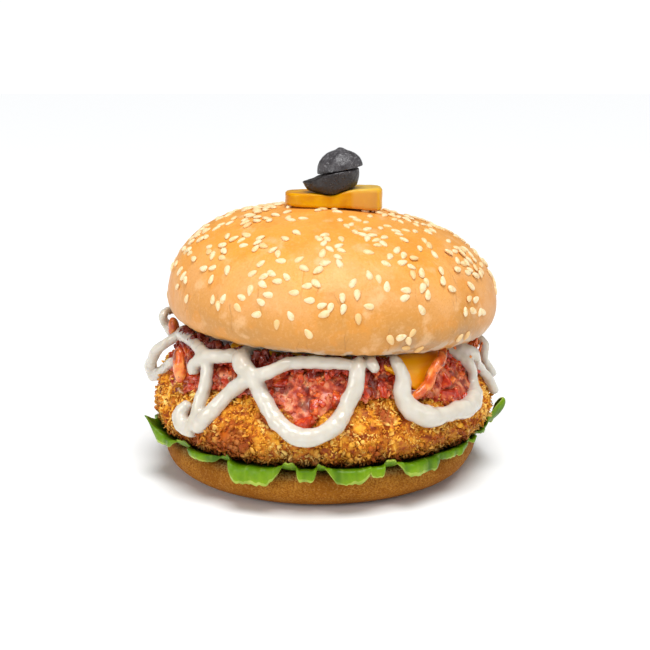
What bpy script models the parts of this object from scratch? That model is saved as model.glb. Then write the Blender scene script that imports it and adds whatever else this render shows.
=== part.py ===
"""A chicken burger: bun halves, breaded patty, lettuce, tomato relish, cheese, mayonnaise,
and a slice of yellow pepper with a black olive on top.

Every piece is its own solid at its real size, in metres. The burger stands on the XY
plane with its axis along Z, and its front faces -Y. A bearing is an angle in degrees
round that axis: 0 is the front, and it grows towards +X, the burger's right.
"""

import math
import random

import bmesh
import bpy
from mathutils import Euler, Matrix, Vector, noise

MM = 0.001

# Driving dimensions
GAP = 0.3 * MM
HEEL_CENTRE = Vector((-1.6, 0, 0)) * MM
HEEL_RADIUS = 52.8 * MM
HEEL_HEIGHT = 12.5 * MM
LEAF_FLAT_RADIUS = 46.0 * MM
LEAF_THICKNESS = 0.8 * MM
PATTY_CENTRE = Vector((-1.0, 0, 0)) * MM
PATTY_RADIUS = 56.0 * MM
PATTY_BOTTOM = 14.2 * MM
PATTY_WAIST = 22.0 * MM
PATTY_SHOULDER = 35.5 * MM
PATTY_TOP = 37.5 * MM
RELISH_RADIUS = 50.0 * MM
RELISH_TOP = 43.4 * MM
CHEESE_SIDE = 64.0 * MM
CHEESE_THICKNESS = 2.2 * MM
SPREAD_RADIUS = 46.5 * MM
SPREAD_THICKNESS = 1.3 * MM
CROWN_RADIUS = 54.6 * MM
CROWN_HEIGHT = 37.0 * MM
CROWN_SEAT = Vector((1.9, 0, 48.6)) * MM
CROWN_TILT = math.radians(2.6)
SEED_LENGTH = 3.2 * MM
SEED_COUNT = 62
PEPPER_RADII = (16.0 * MM, 9.6 * MM)
PEPPER_CENTRE = Vector((2.8, -1.4, 0)) * MM
OLIVE_RADIUS = 7.5 * MM

CROWN_FRAME = Matrix.Translation(CROWN_SEAT) @ Matrix.Rotation(CROWN_TILT, 4, "Y")

# Each lobe in which the leaf's edge hangs down: bearing and half width in degrees, and the
# height of its edge in mm. Between lobes the edge folds up to the notch height.
LEAF_NOTCH = 17.2
LEAF_LOBES = (
    (-83, 6, 15), (-62.5, 8, 13.5), (-41, 9.5, 14), (-22, 10.5, 10.3), (-5.5, 4, 12.1),
    (7, 8.5, 11.3), (15.5, 3.6, 13), (31, 10, 11.8), (45, 12, 14), (59.5, 4, 15),
    (69, 7, 15), (92, 12, 13), (112, 18, 11), (148, 22, 12), (-176, 20, 10.5),
    (-142, 20, 12), (-106, 16, 13),
)

# Each strand of mayonnaise is a route down the side of the burger. A point on it is its
# bearing in degrees, then its height, width and distance off the side in mm. A point
# with no height lies under the crown, where the strand comes out of the spread.
STRANDS = {
    "loop": ((-33, None, 5.4, 0), (-30, 45, 5.6, 0), (-24, 41, 5.0, 0), (-21, 36, 5.0, 0),
             (-15, 30, 5.2, 0), (-9, 26.5, 5.4, 0), (-3, 26, 5.0, 0), (3, 29, 5.4, 0),
             (7, 34, 5.2, 0), (10, 40, 4.6, 0), (11, 45, 4.6, 0), (11, None, 4.6, 0)),
    "bridge": ((-24, 41.5, 4.2, 0), (-19, 43, 4.0, 0), (-13, 45.5, 3.8, 0),
               (-3, 46, 3.8, 0), (10, 45.5, 3.8, 0)),
    "slant": ((-43, 23.5, 5.2, 0), (-38, 29, 4.8, 0), (-33, 35.5, 4.4, 0), (-25, 41.5, 4.8, 0)),
    "fork": ((-51, 38, 3.8, 0), (-51, 41, 4.0, 0), (-45, 44.5, 4.2, 0), (-33, 46, 4.4, 0)),
    "fall": ((-45, 44.5, 4.0, 0), (-44, 38, 4.0, 0), (-44, 31, 4.4, 0), (-43, 23.5, 5.4, 0)),
    "hook": ((-49, 30, 3.2, 0), (-51, 26, 4.8, 0), (-48, 23, 5.2, 0), (-43, 23.5, 5.4, 0)),
    "shoulder": ((-86, None, 3.6, 0), (-76, 46.5, 4.0, 0), (-66, 46.5, 4.2, 0),
                 (-54, 46, 4.0, 0), (-45, 44.5, 4.0, 0)),
    "ear": ((-110, None, 2.8, 0), (-103, 49, 2.8, 3), (-95, 50.5, 2.8, 6), (-88, 50, 2.8, 7.5),
            (-90, 46, 2.8, 4.5), (-86, 44, 2.8, 0)),
    "left_loop": ((-76, 46, 3.2, 0), (-79, 41, 3.4, 3.5), (-84, 36, 3.8, 6), (-90, 31, 3.8, 5),
                  (-90, 28.5, 3.8, 2), (-82, 33, 3.8, 0.5), (-72, 38, 3.4, 0)),
    "drip": ((16, None, 3.4, 0), (16, 45.5, 3.4, 0), (17, 43.5, 2.6, 0)),
    "pocket": ((24, None, 4.0, 0), (25, 45, 3.6, 0), (26.5, 40, 4.8, 0), (26, 35.3, 5.6, 0),
               (28.5, 31, 6.6, 0), (33, 29, 6.4, 0), (39, 28.3, 4.6, 0), (45, 28.6, 5.4, 0),
               (51, 28.2, 6.4, 0), (58, 30, 5.6, 0), (63, 34, 3.4, 0), (61, 39.5, 3.4, 0),
               (57, None, 4.0, 0)),
    "right_strand": ((60, None, 3.6, 0), (63, 43, 3.6, 0), (72, 37, 3.2, 0), (79, 30, 3.2, 0),
                     (80, 25.5, 3.2, 0)),
    "far_strand": ((90, None, 3.0, 0), (84, 42, 2.8, 1), (85, 36, 3.0, 1.5),
                   (89, 29, 3.0, 1.5)),
}


# Helpers for places and shapes

def clear_scene():
    for obj in list(bpy.data.objects):
        bpy.data.objects.remove(obj, do_unlink=True)


def new_collection(name):
    collection = bpy.data.collections.new(name)
    bpy.context.scene.collection.children.link(collection)
    return collection


def around(bearing, radius, height):
    """The point at a bearing in degrees, a distance from the axis and a height."""
    angle = math.radians(bearing)
    return Vector((radius * math.sin(angle), -radius * math.cos(angle), height))


def bearing_of(point):
    return math.degrees(math.atan2(point.x, -point.y))


def smooth_step(value, low, high):
    share = min(1.0, max(0.0, (value - low) / (high - low)))
    return share * share * (3 - 2 * share)


def bump(bearing, centre, half_width):
    """1 at the centre bearing, easing to 0 at half_width degrees on each side."""
    away = abs((bearing - centre + 180) % 360 - 180)
    return 1 - smooth_step(away, 0, half_width)


def elliptic_arc(centre, radii, start, end, steps):
    """Profile points (radius, height) along an arc, its angles in degrees from +X."""
    points = []
    for step in range(steps + 1):
        angle = math.radians(start + (end - start) * step / steps)
        points.append((centre[0] + radii[0] * math.cos(angle),
                       centre[1] + radii[1] * math.sin(angle)))
    return points


def add_object(name, shape, collection, look=None, parent=None):
    """Makes an object of a bmesh, frees the bmesh and shades the object smooth."""
    mesh = bpy.data.meshes.new(name)
    shape.to_mesh(mesh)
    shape.free()
    mesh.shade_smooth()
    mesh.set_sharp_from_angle(angle=math.radians(40))
    obj = bpy.data.objects.new(name, mesh)
    if look:
        mesh.materials.append(look)
    obj.parent = parent
    collection.objects.link(obj)
    return obj


def apply_modifiers(obj):
    bpy.context.view_layer.update()
    graph = bpy.context.evaluated_depsgraph_get()
    mesh = bpy.data.meshes.new_from_object(obj.evaluated_get(graph))
    obj.modifiers.clear()
    obj.data = mesh


def turned(profile, steps):
    """A shape turned round Z, from a profile of (radius, height) that runs downwards."""
    line = bmesh.new()
    corners = [line.verts.new((radius, 0, height)) for radius, height in profile]
    for pair in zip(corners, corners[1:]):
        line.edges.new(pair)
    guide = add_object("profile", line, bpy.context.scene.collection)
    screw = guide.modifiers.new("turn", "SCREW")
    screw.steps = screw.render_steps = steps
    screw.use_merge_vertices = True
    screw.merge_threshold = 0.00001
    apply_modifiers(guide)
    shape = bmesh.new()
    shape.from_mesh(guide.data)
    bpy.data.objects.remove(guide, do_unlink=True)
    bmesh.ops.remove_doubles(shape, verts=shape.verts, dist=0.01 * MM)
    return shape


def roughen(shape, depth, grain, offset, share=lambda point: 1.0):
    """Moves each point along its normal by a noise of the given depth and grain size."""
    shape.normal_update()
    moves = []
    for vert in shape.verts:
        place = vert.co / grain + Vector(offset)
        swell = noise.noise(place) + 0.5 * noise.noise(place * 2.1)
        moves.append(vert.normal * depth * swell * share(vert.co))
    for vert, move in zip(shape.verts, moves):
        vert.co += move


def material(name, colour, roughness):
    made = bpy.data.materials.new(name)
    made.use_nodes = True
    shader = made.node_tree.nodes["Principled BSDF"]
    shader.inputs["Base Color"].default_value = (*colour, 1)
    shader.inputs["Roughness"].default_value = roughness
    shader.inputs["Metallic"].default_value = 0.0
    made.diffuse_color = (*colour, 1)
    return made


def fuse(obj, collection):
    """Joins every object of a collection to obj, and removes the collection."""
    union = obj.modifiers.new("union", "BOOLEAN")
    union.operation = "UNION"
    union.operand_type = "COLLECTION"
    union.collection = collection
    apply_modifiers(obj)
    for member in list(collection.objects):
        bpy.data.objects.remove(member, do_unlink=True)
    bpy.data.collections.remove(collection)


def cut(obj, cutter):
    difference = obj.modifiers.new("cut", "BOOLEAN")
    difference.operation = "DIFFERENCE"
    difference.object = cutter
    difference.solver = "MANIFOLD"
    apply_modifiers(obj)


def as_cutter(obj):
    obj.hide_render = True
    obj.display_type = "WIRE"
    return obj


def keep_main_body(obj):
    """Drops the crumbs that a cut leaves loose, which are smaller than the main body."""
    shape = bmesh.new()
    shape.from_mesh(obj.data)
    unseen = set(shape.faces)
    bodies = []
    while unseen:
        body, ahead = set(), [unseen.pop()]
        while ahead:
            face = ahead.pop()
            body.add(face)
            joined = [edge for edge in face.edges if len(edge.link_faces) == 2]
            near = {other for edge in joined for other in edge.link_faces} & unseen
            unseen -= near
            ahead.extend(near)
        bodies.append(body)
    main_body = max(bodies, key=len)
    loose = [face for face in shape.faces if face not in main_body]
    bmesh.ops.delete(shape, geom=loose, context="FACES")
    shape.to_mesh(obj.data)
    shape.free()


def grown_copy(obj, growth, collection):
    """A hidden copy of obj, larger all round by growth, to cut its neighbours with."""
    shape = bmesh.new()
    shape.from_mesh(obj.data)
    shape.normal_update()
    for vert in shape.verts:
        vert.co += vert.normal * growth
    copy = add_object("around_" + obj.name, shape, collection, parent=obj.parent)
    copy.location = obj.location
    return as_cutter(copy)


# Bottom half of the bun

def bottom_bun(collection, look):
    foot = (11.0 * MM, 8.5 * MM)
    shoulder = 3.2 * MM
    profile = [(0, HEEL_HEIGHT), (26 * MM, HEEL_HEIGHT)]
    profile += elliptic_arc((HEEL_RADIUS - shoulder, HEEL_HEIGHT - shoulder),
                            (shoulder, shoulder), 90, 0, 3)
    profile += elliptic_arc((HEEL_RADIUS - foot[0], foot[1]), foot, 0, -90, 5)
    profile += [(24 * MM, 0), (0, 0)]
    shape = turned(profile, 44)

    def side_only(point):
        lifted = smooth_step(point.z, 0, 5 * MM)
        return lifted * (1 - smooth_step(point.z, HEEL_HEIGHT - 3 * MM, HEEL_HEIGHT))

    roughen(shape, 0.5 * MM, 22 * MM, (3, 1, 7), side_only)
    heel = add_object("bottom_bun", shape, collection, look)
    heel.location = HEEL_CENTRE
    return heel


# Lettuce leaf

def leaf_edge(bearing):
    """How far the leaf reaches at a bearing, and how high its edge is there, in mm."""
    height = LEAF_NOTCH
    for centre, half_width, low in LEAF_LOBES:
        away = abs((bearing - centre + 180) % 360 - 180)
        hang = 1 - smooth_step(away, 0.45 * half_width, half_width)
        height = min(height, LEAF_NOTCH + (low - LEAF_NOTCH) * hang)
    reach = max(57.4 - 2.6 * smooth_step(height, 13.5, 16.5), 55 + 0.75 * (height - 16))
    return Vector((reach, height))


def leaf_route(bearing):
    """The four steering points of the leaf's way out, as (radius, height) in mm.

    It leaves the heel's top, swells up against the patty and comes down to its edge. At
    two places, on the burger's left and right, it curls up in front of the patty.
    """
    edge = leaf_edge(bearing)
    hang = 1 - smooth_step(edge.y, 14, 17)
    near = Vector((54, 12.9))
    far = Vector((55 + 3.5 * hang, 16 + 3 * hang))
    left, right = bump(bearing, -70, 9), bump(bearing, 79, 8)
    near = near.lerp(Vector((59, 12.6)), left).lerp(Vector((58, 12.9)), right)
    far = far.lerp(Vector((64, 28)), left).lerp(Vector((64, 23)), right)
    edge = edge.lerp(Vector((57.8, edge.y)), left).lerp(Vector((61, 24.5)), right)
    aside = Vector((-1.0 * math.sin(math.radians(bearing)), 0))
    return Vector((46, 13.2)), near + aside, far + aside, edge + aside


def along_route(route, share):
    """The point at a share of the way along a cubic Bezier curve."""
    rest = 1 - share
    return (route[0] * rest ** 3 + route[1] * 3 * rest ** 2 * share
            + route[2] * 3 * rest * share ** 2 + route[3] * share ** 3)


def lettuce_leaf(collection, look):
    """A wavy sheet that lies on the heel, hangs over its edge and curls up at the sides.

    Its rings have a step each 2.6 degrees in front, where it shows, and wider ones behind.
    """
    margin = 12 * MM
    level = HEEL_HEIGHT + GAP + LEAF_THICKNESS / 2
    rings = [0, 30 * MM] + [LEAF_FLAT_RADIUS + margin * share / 4 for share in range(5)]
    shape = turned([(radius, level) for radius in rings], 84)
    for vert in shape.verts:
        radius = vert.co.xy.length
        step = bearing_of(vert.co) * 84 / 360
        bearing = step * 2.6 if abs(step) < 33 else math.copysign(
            85.8 + (abs(step) - 33) * 94.2 / 9, step)
        vert.co = around(bearing, radius, level)
        share = (radius - LEAF_FLAT_RADIUS) / margin
        if share > 0.01:
            place = along_route(leaf_route(bearing), share) * MM
            vert.co = around(bearing, place.x, max(level, place.y))
            if share > 0.5:
                vert.co.z = place.y
    bmesh.ops.triangulate(shape, faces=shape.faces)
    leaf = add_object("lettuce_leaf", shape, collection, look)
    thickness = leaf.modifiers.new("thickness", "SOLIDIFY")
    thickness.thickness = LEAF_THICKNESS
    thickness.offset = 0
    apply_modifiers(leaf)
    return leaf


# Breaded chicken patty

def patty_lift(point):
    """The cutlet curls up on the burger's left, as thick meat does when it fries."""
    upper = smooth_step(point.z, PATTY_WAIST, PATTY_SHOULDER)
    outer = smooth_step(point.xy.length, 30 * MM, 48 * MM)
    return 4.0 * MM * bump(bearing_of(point), -84, 50) * upper * outer


def chicken_patty(collection, look):
    lower = (10 * MM, PATTY_WAIST - PATTY_BOTTOM)
    upper = (15 * MM, PATTY_SHOULDER - PATTY_WAIST)
    profile = [(0, PATTY_TOP), (30 * MM, PATTY_TOP - 0.6 * MM)]
    profile += elliptic_arc((PATTY_RADIUS - upper[0], PATTY_WAIST), upper, 90, 0, 6)
    profile += elliptic_arc((PATTY_RADIUS - lower[0], PATTY_WAIST), lower, 0, -90, 4)[1:]
    profile += [(26 * MM, PATTY_BOTTOM), (0, PATTY_BOTTOM)]
    shape = turned(profile, 52)

    def outside(point):
        return smooth_step(point.xy.length, 40 * MM, 52 * MM) * (0.3 + 0.7 * smooth_step(
            point.z, PATTY_BOTTOM + 1 * MM, PATTY_WAIST))

    roughen(shape, 1.2 * MM, 30 * MM, (5, 2, 1), outside)
    roughen(shape, 1.4 * MM, 7.5 * MM, (1, 9, 4), outside)
    for vert in shape.verts:
        vert.co.z += patty_lift(vert.co)
    patty = add_object("chicken_patty", shape, collection, look)
    patty.location = PATTY_CENTRE
    return patty


# Tomato relish

def relish_fall(bearing):
    """How far the relish hangs down the patty's side at a bearing."""
    fall = 1.5
    for centre, half_width, depth in ((-8, 16, 7), (52, 26, 6), (-62, 20, 5), (150, 34, 5),
                                      (-140, 30, 5)):
        fall += depth * bump(bearing, centre, half_width)
    return fall * MM


def relish_chunk(collection, name, place, size, turn):
    """One diced piece: a lump with 20 facets."""
    shape = bmesh.new()
    bmesh.ops.create_icosphere(shape, subdivisions=1, radius=0.55)
    bmesh.ops.scale(shape, vec=size, verts=shape.verts)
    spin = turn.to_matrix().to_4x4()
    bmesh.ops.transform(shape, matrix=Matrix.Translation(place) @ spin, verts=shape.verts)
    return add_object(name, shape, collection)


def tomato_relish(collection, look):
    foot = PATTY_TOP - 4 * MM
    shoulder = 37 * MM
    profile = [(0, RELISH_TOP), (34 * MM, RELISH_TOP)]
    profile += elliptic_arc((RELISH_RADIUS - 7 * MM, shoulder), (7 * MM, RELISH_TOP - shoulder),
                            90, 0, 4)
    profile += [(RELISH_RADIUS, foot), (38 * MM, foot), (0, foot)]
    shape = turned(profile, 40)
    for vert in shape.verts:
        if vert.co.xy.length > 45 * MM:
            share = 1 - smooth_step(vert.co.z, foot, shoulder + 1 * MM)
            fall = relish_fall(bearing_of(vert.co)) * share
            vert.co.z -= fall - 3 * MM * share
            vert.co.xy *= 1 + 0.6 * fall / RELISH_RADIUS

    def side_only(point):
        return smooth_step(point.xy.length, 38 * MM, 46 * MM)

    roughen(shape, 1.4 * MM, 8 * MM, (2, 6, 3), side_only)
    relish = add_object("tomato_relish", shape, collection, look)

    draw = random.Random(4)
    chunks = new_collection("relish_chunks")
    for number in range(18):
        bearing = -162 + 360 * number / 18 + 6 * draw.random()
        height = (36 + 5.5 * draw.random()) * MM
        size = [(4 + 3 * draw.random()) * MM for side in range(3)]
        turn = Euler([math.tau * draw.random() for axis in range(3)])
        relish_chunk(chunks, f"chunk_{number}", around(bearing, RELISH_RADIUS - 0.8 * MM, height),
                     size, turn)
    wedge_turn = Euler((0, math.radians(-8), math.radians(-63)))
    relish_chunk(chunks, "wedge", around(-63, 53.5 * MM, 40.5 * MM),
                 (4.4 * MM, 3.4 * MM, 10.5 * MM), wedge_turn)
    fuse(relish, chunks)
    return relish


# Cheese slice

def cheese_slice(collection, look, seat):
    """A square slice, laid off centre so that one corner hangs down over the side."""
    fold_start = 44 * MM
    fold_radius = 6 * MM
    droop = math.radians(75)
    shape = bmesh.new()
    bmesh.ops.create_grid(shape, x_segments=9, y_segments=9, size=CHEESE_SIDE / 2)
    bmesh.ops.rotate(shape, verts=shape.verts, matrix=Matrix.Rotation(math.radians(-13), 3, "Z"))
    bmesh.ops.translate(shape, verts=shape.verts, vec=around(32, 13.5 * MM, 0))
    for vert in shape.verts:
        radius = vert.co.xy.length
        over = radius - fold_start
        if over > 0:
            angle = min(over / fold_radius, droop)
            rest = max(0, over - droop * fold_radius)
            out = fold_start + fold_radius * math.sin(angle) + rest * math.cos(droop)
            down = fold_radius * (1 - math.cos(angle)) + rest * math.sin(droop)
            vert.co = Vector((*(vert.co.xy * out / radius), -down))
    bmesh.ops.triangulate(shape, faces=shape.faces)
    cheese = add_object("cheese_slice", shape, collection, look, seat)
    cheese.location.z = -(GAP + SPREAD_THICKNESS + GAP)
    thickness = cheese.modifiers.new("thickness", "SOLIDIFY")
    thickness.thickness = CHEESE_THICKNESS
    thickness.offset = -1
    apply_modifiers(cheese)
    return cheese


# Mayonnaise

def side_radius(height):
    """How far the filled middle of the burger stands out from the axis at a height."""
    return (57 * MM - 6 * MM * smooth_step(height, 24 * MM, 37 * MM)
            - 5 * MM * smooth_step(height, 43 * MM, 48 * MM))


def through(points, per_span):
    """Points on a smooth line through the given ones (Catmull-Rom)."""
    ends = [points[0] * 2 - points[1]] + list(points) + [points[-1] * 2 - points[-2]]
    line = []
    for before, start, end, after in zip(ends, ends[1:], ends[2:], ends[3:]):
        for step in range(per_span):
            t = step / per_span
            line.append(0.5 * ((2 * start) + (end - before) * t
                               + (2 * before - 5 * start + 4 * end - after) * t ** 2
                               + (3 * start - before - 3 * end + after) * t ** 3))
    return line + [points[-1]]


def strand_point(bearing, height, width, off):
    if height is None:
        below = GAP + 0.1 * MM + width * MM / 2
        return CROWN_FRAME @ around(bearing, SPREAD_RADIUS - 4 * MM, -below)
    return around(bearing, side_radius(height * MM) + (1.0 + off) * MM, height * MM)


def strand(collection, name, route, growth):
    """A tube of sauce along a route, with its own width at each point."""
    curve = bpy.data.curves.new(name, "CURVE")
    curve.dimensions = "3D"
    curve.bevel_depth = 1 * MM
    curve.bevel_resolution = 1
    curve.use_fill_caps = True
    spline = curve.splines.new("POLY")
    line = through([strand_point(*stop) for stop in route], 2)
    widths = through([Vector((stop[2], 0)) for stop in route], 2)
    line[0] += (line[0] - line[1]).normalized() * growth
    line[-1] += (line[-1] - line[-2]).normalized() * growth
    spline.points.add(len(line) - 1)
    for point, place, width in zip(spline.points, line, widths):
        point.co = (*place, 1)
        point.radius = width.x / 2 + growth / MM
    tube = bpy.data.objects.new(name, curve)
    collection.objects.link(tube)
    bpy.context.view_layer.update()
    graph = bpy.context.evaluated_depsgraph_get()
    mesh = bpy.data.meshes.new_from_object(tube.evaluated_get(graph))
    shape = bmesh.new()
    shape.from_mesh(mesh)
    bmesh.ops.remove_doubles(shape, verts=shape.verts, dist=0.01 * MM)
    matrix = tube.matrix_world.copy()
    bpy.data.objects.remove(tube, do_unlink=True)
    made = add_object(name, shape, collection)
    made.matrix_world = matrix
    return made


def mayonnaise(name, collection, look, seat, growth=0):
    """A spread under the crown, joined to the strands that run down the side.

    With a growth it is that much larger all round, to cut its neighbours with.
    """
    rim = SPREAD_THICKNESS / 2 + growth
    centre = -GAP - SPREAD_THICKNESS / 2
    profile = [(0, centre + rim)] + elliptic_arc((SPREAD_RADIUS, centre), (rim, rim), 90, -90, 2)
    profile += [(0, centre - rim)]
    spread = add_object(name, turned(profile, 40), collection, look, seat)
    strands = new_collection("strands")
    for strand_name, route in STRANDS.items():
        strand(strands, strand_name, route, growth)
    fuse(spread, strands)
    return spread


# Top half of the bun, with sesame seeds

def dome_height(place):
    """Height of the crown's dome above its widest ring, fuller on the burger's left."""
    share = min(1.0, place.xy.length / CROWN_RADIUS)
    lean = 1 - 0.05 * place.x / CROWN_RADIUS
    knob = 1.0 * MM * (1 - smooth_step(share, 0.2, 0.48))
    return (CROWN_HEIGHT - 8 * MM) * lean * math.sqrt(1 - share ** 3) + knob


def crown_surface(bearing, radius):
    """A point of the crown's dome in the crown's own frame, and the way out of it."""
    step = 0.2 * MM
    point = around(bearing, radius, 0)
    slope_x = dome_height(point + Vector((step, 0, 0))) - dome_height(point - Vector((step, 0, 0)))
    slope_y = dome_height(point + Vector((0, step, 0))) - dome_height(point - Vector((0, step, 0)))
    point.z = 8 * MM + dome_height(point)
    return point, Vector((-slope_x, -slope_y, 2 * step)).normalized()


def sesame_seed(collection, name, place, out, turn, parent):
    """One seed: a drop with its point at one end, half sunk in the crust."""
    shape = bmesh.new()
    bmesh.ops.create_uvsphere(shape, u_segments=5, v_segments=3, radius=0.5)
    for vert in shape.verts:
        along, across, up = vert.co.z, vert.co.x, vert.co.y
        vert.co = Vector((along, across * (0.66 - 0.42 * along), up * 0.42))
    bmesh.ops.scale(shape, vec=(SEED_LENGTH,) * 3, verts=shape.verts)
    frame = out.to_track_quat("Z", "Y").to_matrix().to_4x4()
    spin = Matrix.Rotation(turn, 4, "Z")
    bmesh.ops.transform(shape, matrix=Matrix.Translation(place + out * 0.05 * MM) @ frame @ spin,
                        verts=shape.verts)
    return add_object(name, shape, collection, parent=parent)


def scatter_seeds(collection, parent):
    """Seeds thin out from the top of the crown to its side, none nearer than spacing."""
    draw = random.Random(11)
    spacing = 4.4 * MM
    placed = []
    while len(placed) < SEED_COUNT:
        radius = (21 + 31 * draw.random() ** 0.85) * MM
        place, out = crown_surface(360 * draw.random(), radius)
        if all((place - other).length > spacing for other in placed):
            placed.append(place)
            sesame_seed(collection, f"seed_{len(placed)}", place, out,
                        math.tau * draw.random(), parent)


def top_bun(collection, look, seat):
    rim = (5.6 * MM, 8 * MM)
    shares = (0, 0.28, 0.48, 0.64, 0.77, 0.87, 0.94, 0.985)
    profile = [(CROWN_RADIUS * share, rim[1] + 1 * MM) for share in shares]
    profile += elliptic_arc((CROWN_RADIUS - rim[0], rim[1]), rim, 0, -90, 4)
    profile += [(26 * MM, 0), (0, 0)]
    shape = turned(profile, 46)
    for vert in shape.verts:
        if vert.co.z > rim[1] + 0.5 * MM:
            vert.co.z = rim[1] + dome_height(vert.co)
    crown = add_object("top_bun", shape, collection, look, seat)
    seeds = new_collection("sesame_seeds")
    scatter_seeds(seeds, seat)
    fuse(crown, seeds)
    return crown


# Yellow pepper slice and black olive

def pepper_level(across, top):
    """How high the slice's upper or lower face is at a place across it, all in mm."""
    if top:
        return 91.5 - 0.6 * bump(across, 1.6, 4) + 1.5 * smooth_step(across, 3, 11)
    return 87.1 + 0.5 * (1 - smooth_step(across, -13, 0)) - 1.2 * smooth_step(across, 6, 18)


def pepper_slice(collection, look):
    """A thick crosswise slice of yellow pepper, low at the left and thicker at the right."""
    shape = bmesh.new()
    bmesh.ops.create_cone(shape, cap_ends=True, segments=32, radius1=1, radius2=1, depth=1)
    for vert in shape.verts:
        side, front, top = vert.co.x, vert.co.y, vert.co.z > 0
        squared = (abs(side) ** 3.4 + abs(front) ** 3.4) ** (-1 / 3.4)
        dip = 1 - 0.06 * bump(bearing_of(vert.co), 20, 14) - 0.10 * bump(
            bearing_of(vert.co), 170, 40)
        across = side * squared * PEPPER_RADII[0] * (0.985 if top else 1)
        vert.co = PEPPER_CENTRE + Vector((across, front * squared * dip * PEPPER_RADII[1], 0))
        vert.co.z = pepper_level(vert.co.x / MM, top) * MM
    rims = [edge for edge in shape.edges if edge.calc_face_angle(0) > math.radians(60)]
    bmesh.ops.bevel(shape, geom=rims, offset=0.4 * MM, segments=1, profile=0.5,
                    affect="EDGES", material=-1)
    for face in [face for face in shape.faces if len(face.verts) > 8]:
        bmesh.ops.poke(shape, faces=[face])
    for vert in shape.verts:
        if len(vert.link_faces) > 20:
            high = vert.co.z > 89.5 * MM
            vert.co.z = pepper_level(vert.co.x / MM, high) * MM
    return add_object("pepper_slice", shape, collection, look)


def olive_base(collection, look):
    """The lower part: a short barrel with a sloping cut and a lip that sticks out left."""
    profile = [(0, 6.4), (4.4, 6.4), (8.4, 6.4), (8.6, 5.2), (8.5, 3.4), (8.2, 1.6), (7.6, 0.4),
               (7.0, 0), (0, 0)]
    shape = turned([(radius * MM, height * MM) for radius, height in profile], 22)
    for vert in shape.verts:
        share, across = vert.co.z / (6.4 * MM), vert.co.x / MM
        lip = smooth_step(-across, 5.5, 8.4) * bump(bearing_of(vert.co), -90, 45)
        across += 2.5 - 1.3 * lip * share
        floor = pepper_level(across, True) + 0.75
        cut = 98.0 + 0.17 * (across - 2.5) - 1.3 * smooth_step(2.5 - across, 1, 8)
        vert.co = Vector((across, vert.co.y / MM - 3.6, floor + (cut - floor) * share)) * MM
    roughen(shape, 0.1 * MM, 5 * MM, (8, 3, 5))
    return add_object("olive_base", shape, collection, look)


def olive_cap(collection, look):
    """The upper part: a ball kept above the cut, with the stem's scar on top."""
    shape = bmesh.new()
    bmesh.ops.create_uvsphere(shape, u_segments=18, v_segments=12, radius=OLIVE_RADIUS)
    roughen(shape, 0.2 * MM, 5 * MM, (8, 3, 5))
    halves = bmesh.ops.bisect_plane(
        shape, geom=shape.verts[:] + shape.edges[:] + shape.faces[:], plane_co=(0, 0, 0),
        plane_no=(0, 0, -1), clear_outer=True)
    rim = [item for item in halves["geom_cut"] if isinstance(item, bmesh.types.BMEdge)]
    bmesh.ops.holes_fill(shape, edges=rim)
    for vert in shape.verts:
        vert.co.z *= 0.86
        if vert.co.z > 1 * MM:
            away = (vert.co.xy - Vector((1.5 * MM, 0))).length
            vert.co.z += 0.5 * MM * (1 - smooth_step(away, 0.5 * MM, 2.4 * MM))
    piece = add_object("olive_cap", shape, collection, look)
    piece.location = Vector((4.9, -3.6, 98.85)) * MM
    piece.rotation_euler = Euler((0, math.radians(-11), 0))
    return piece


def main():
    clear_scene()
    burger = new_collection("chicken_burger")
    cutters = new_collection("cutters")
    seat = bpy.data.objects.new("crown_seat", None)
    seat.location = CROWN_SEAT
    seat.rotation_euler = Euler((0, CROWN_TILT, 0))
    burger.objects.link(seat)

    crust = material("crown_crust", (0.80, 0.42, 0.13), 0.42)
    toasted = material("heel_crust", (0.42, 0.17, 0.035), 0.7)
    breading = material("breading", (0.70, 0.30, 0.05), 0.75)
    tomato = material("tomato", (0.50, 0.07, 0.03), 0.3)
    leaf_green = material("leaf_green", (0.13, 0.25, 0.012), 0.4)
    cheddar = material("cheddar", (0.90, 0.38, 0.02), 0.35)
    sauce = material("sauce", (0.76, 0.68, 0.55), 0.25)
    pepper_yellow = material("pepper_yellow", (0.76, 0.36, 0.01), 0.3)
    olive_black = material("olive_black", (0.035, 0.03, 0.032), 0.3)

    bottom_bun(burger, toasted)
    lettuce_leaf(burger, leaf_green)
    patty = chicken_patty(burger, breading)
    relish = tomato_relish(burger, tomato)
    cheese = cheese_slice(burger, cheddar, seat)
    mayonnaise("mayonnaise", burger, sauce, seat)
    top_bun(burger, crust, seat)
    pepper_slice(burger, pepper_yellow)
    olive_base(burger, olive_black)
    olive_cap(burger, olive_black)

    cut(relish, grown_copy(cheese, GAP, cutters))
    cut(relish, grown_copy(patty, 2.5 * GAP, cutters))
    around_sauce = as_cutter(mayonnaise("around_mayonnaise", cutters, None, seat, GAP))
    for layer in (cheese, patty, relish):
        cut(layer, around_sauce)
        keep_main_body(layer)


main()
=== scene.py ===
# %% [markdown]
# # A chicken burger
#
# A sesame bun, a breaded chicken patty, tomato relish, a slice of cheese, a lettuce leaf and
# loops of mayonnaise, with a slice of yellow pepper and a black olive on top. The packed
# model gives every layer its size and place. This script builds each layer again with the
# surface that the real food has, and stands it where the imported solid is.
#
# Lengths are in metres and Z points up. A bearing is an angle in degrees round the burger:
# 0 faces the camera, and it grows towards +X, the burger's right.

import math
import random

import bmesh
import bpy
import numpy as np
from mathutils import Euler, Matrix, Vector, noise


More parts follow.
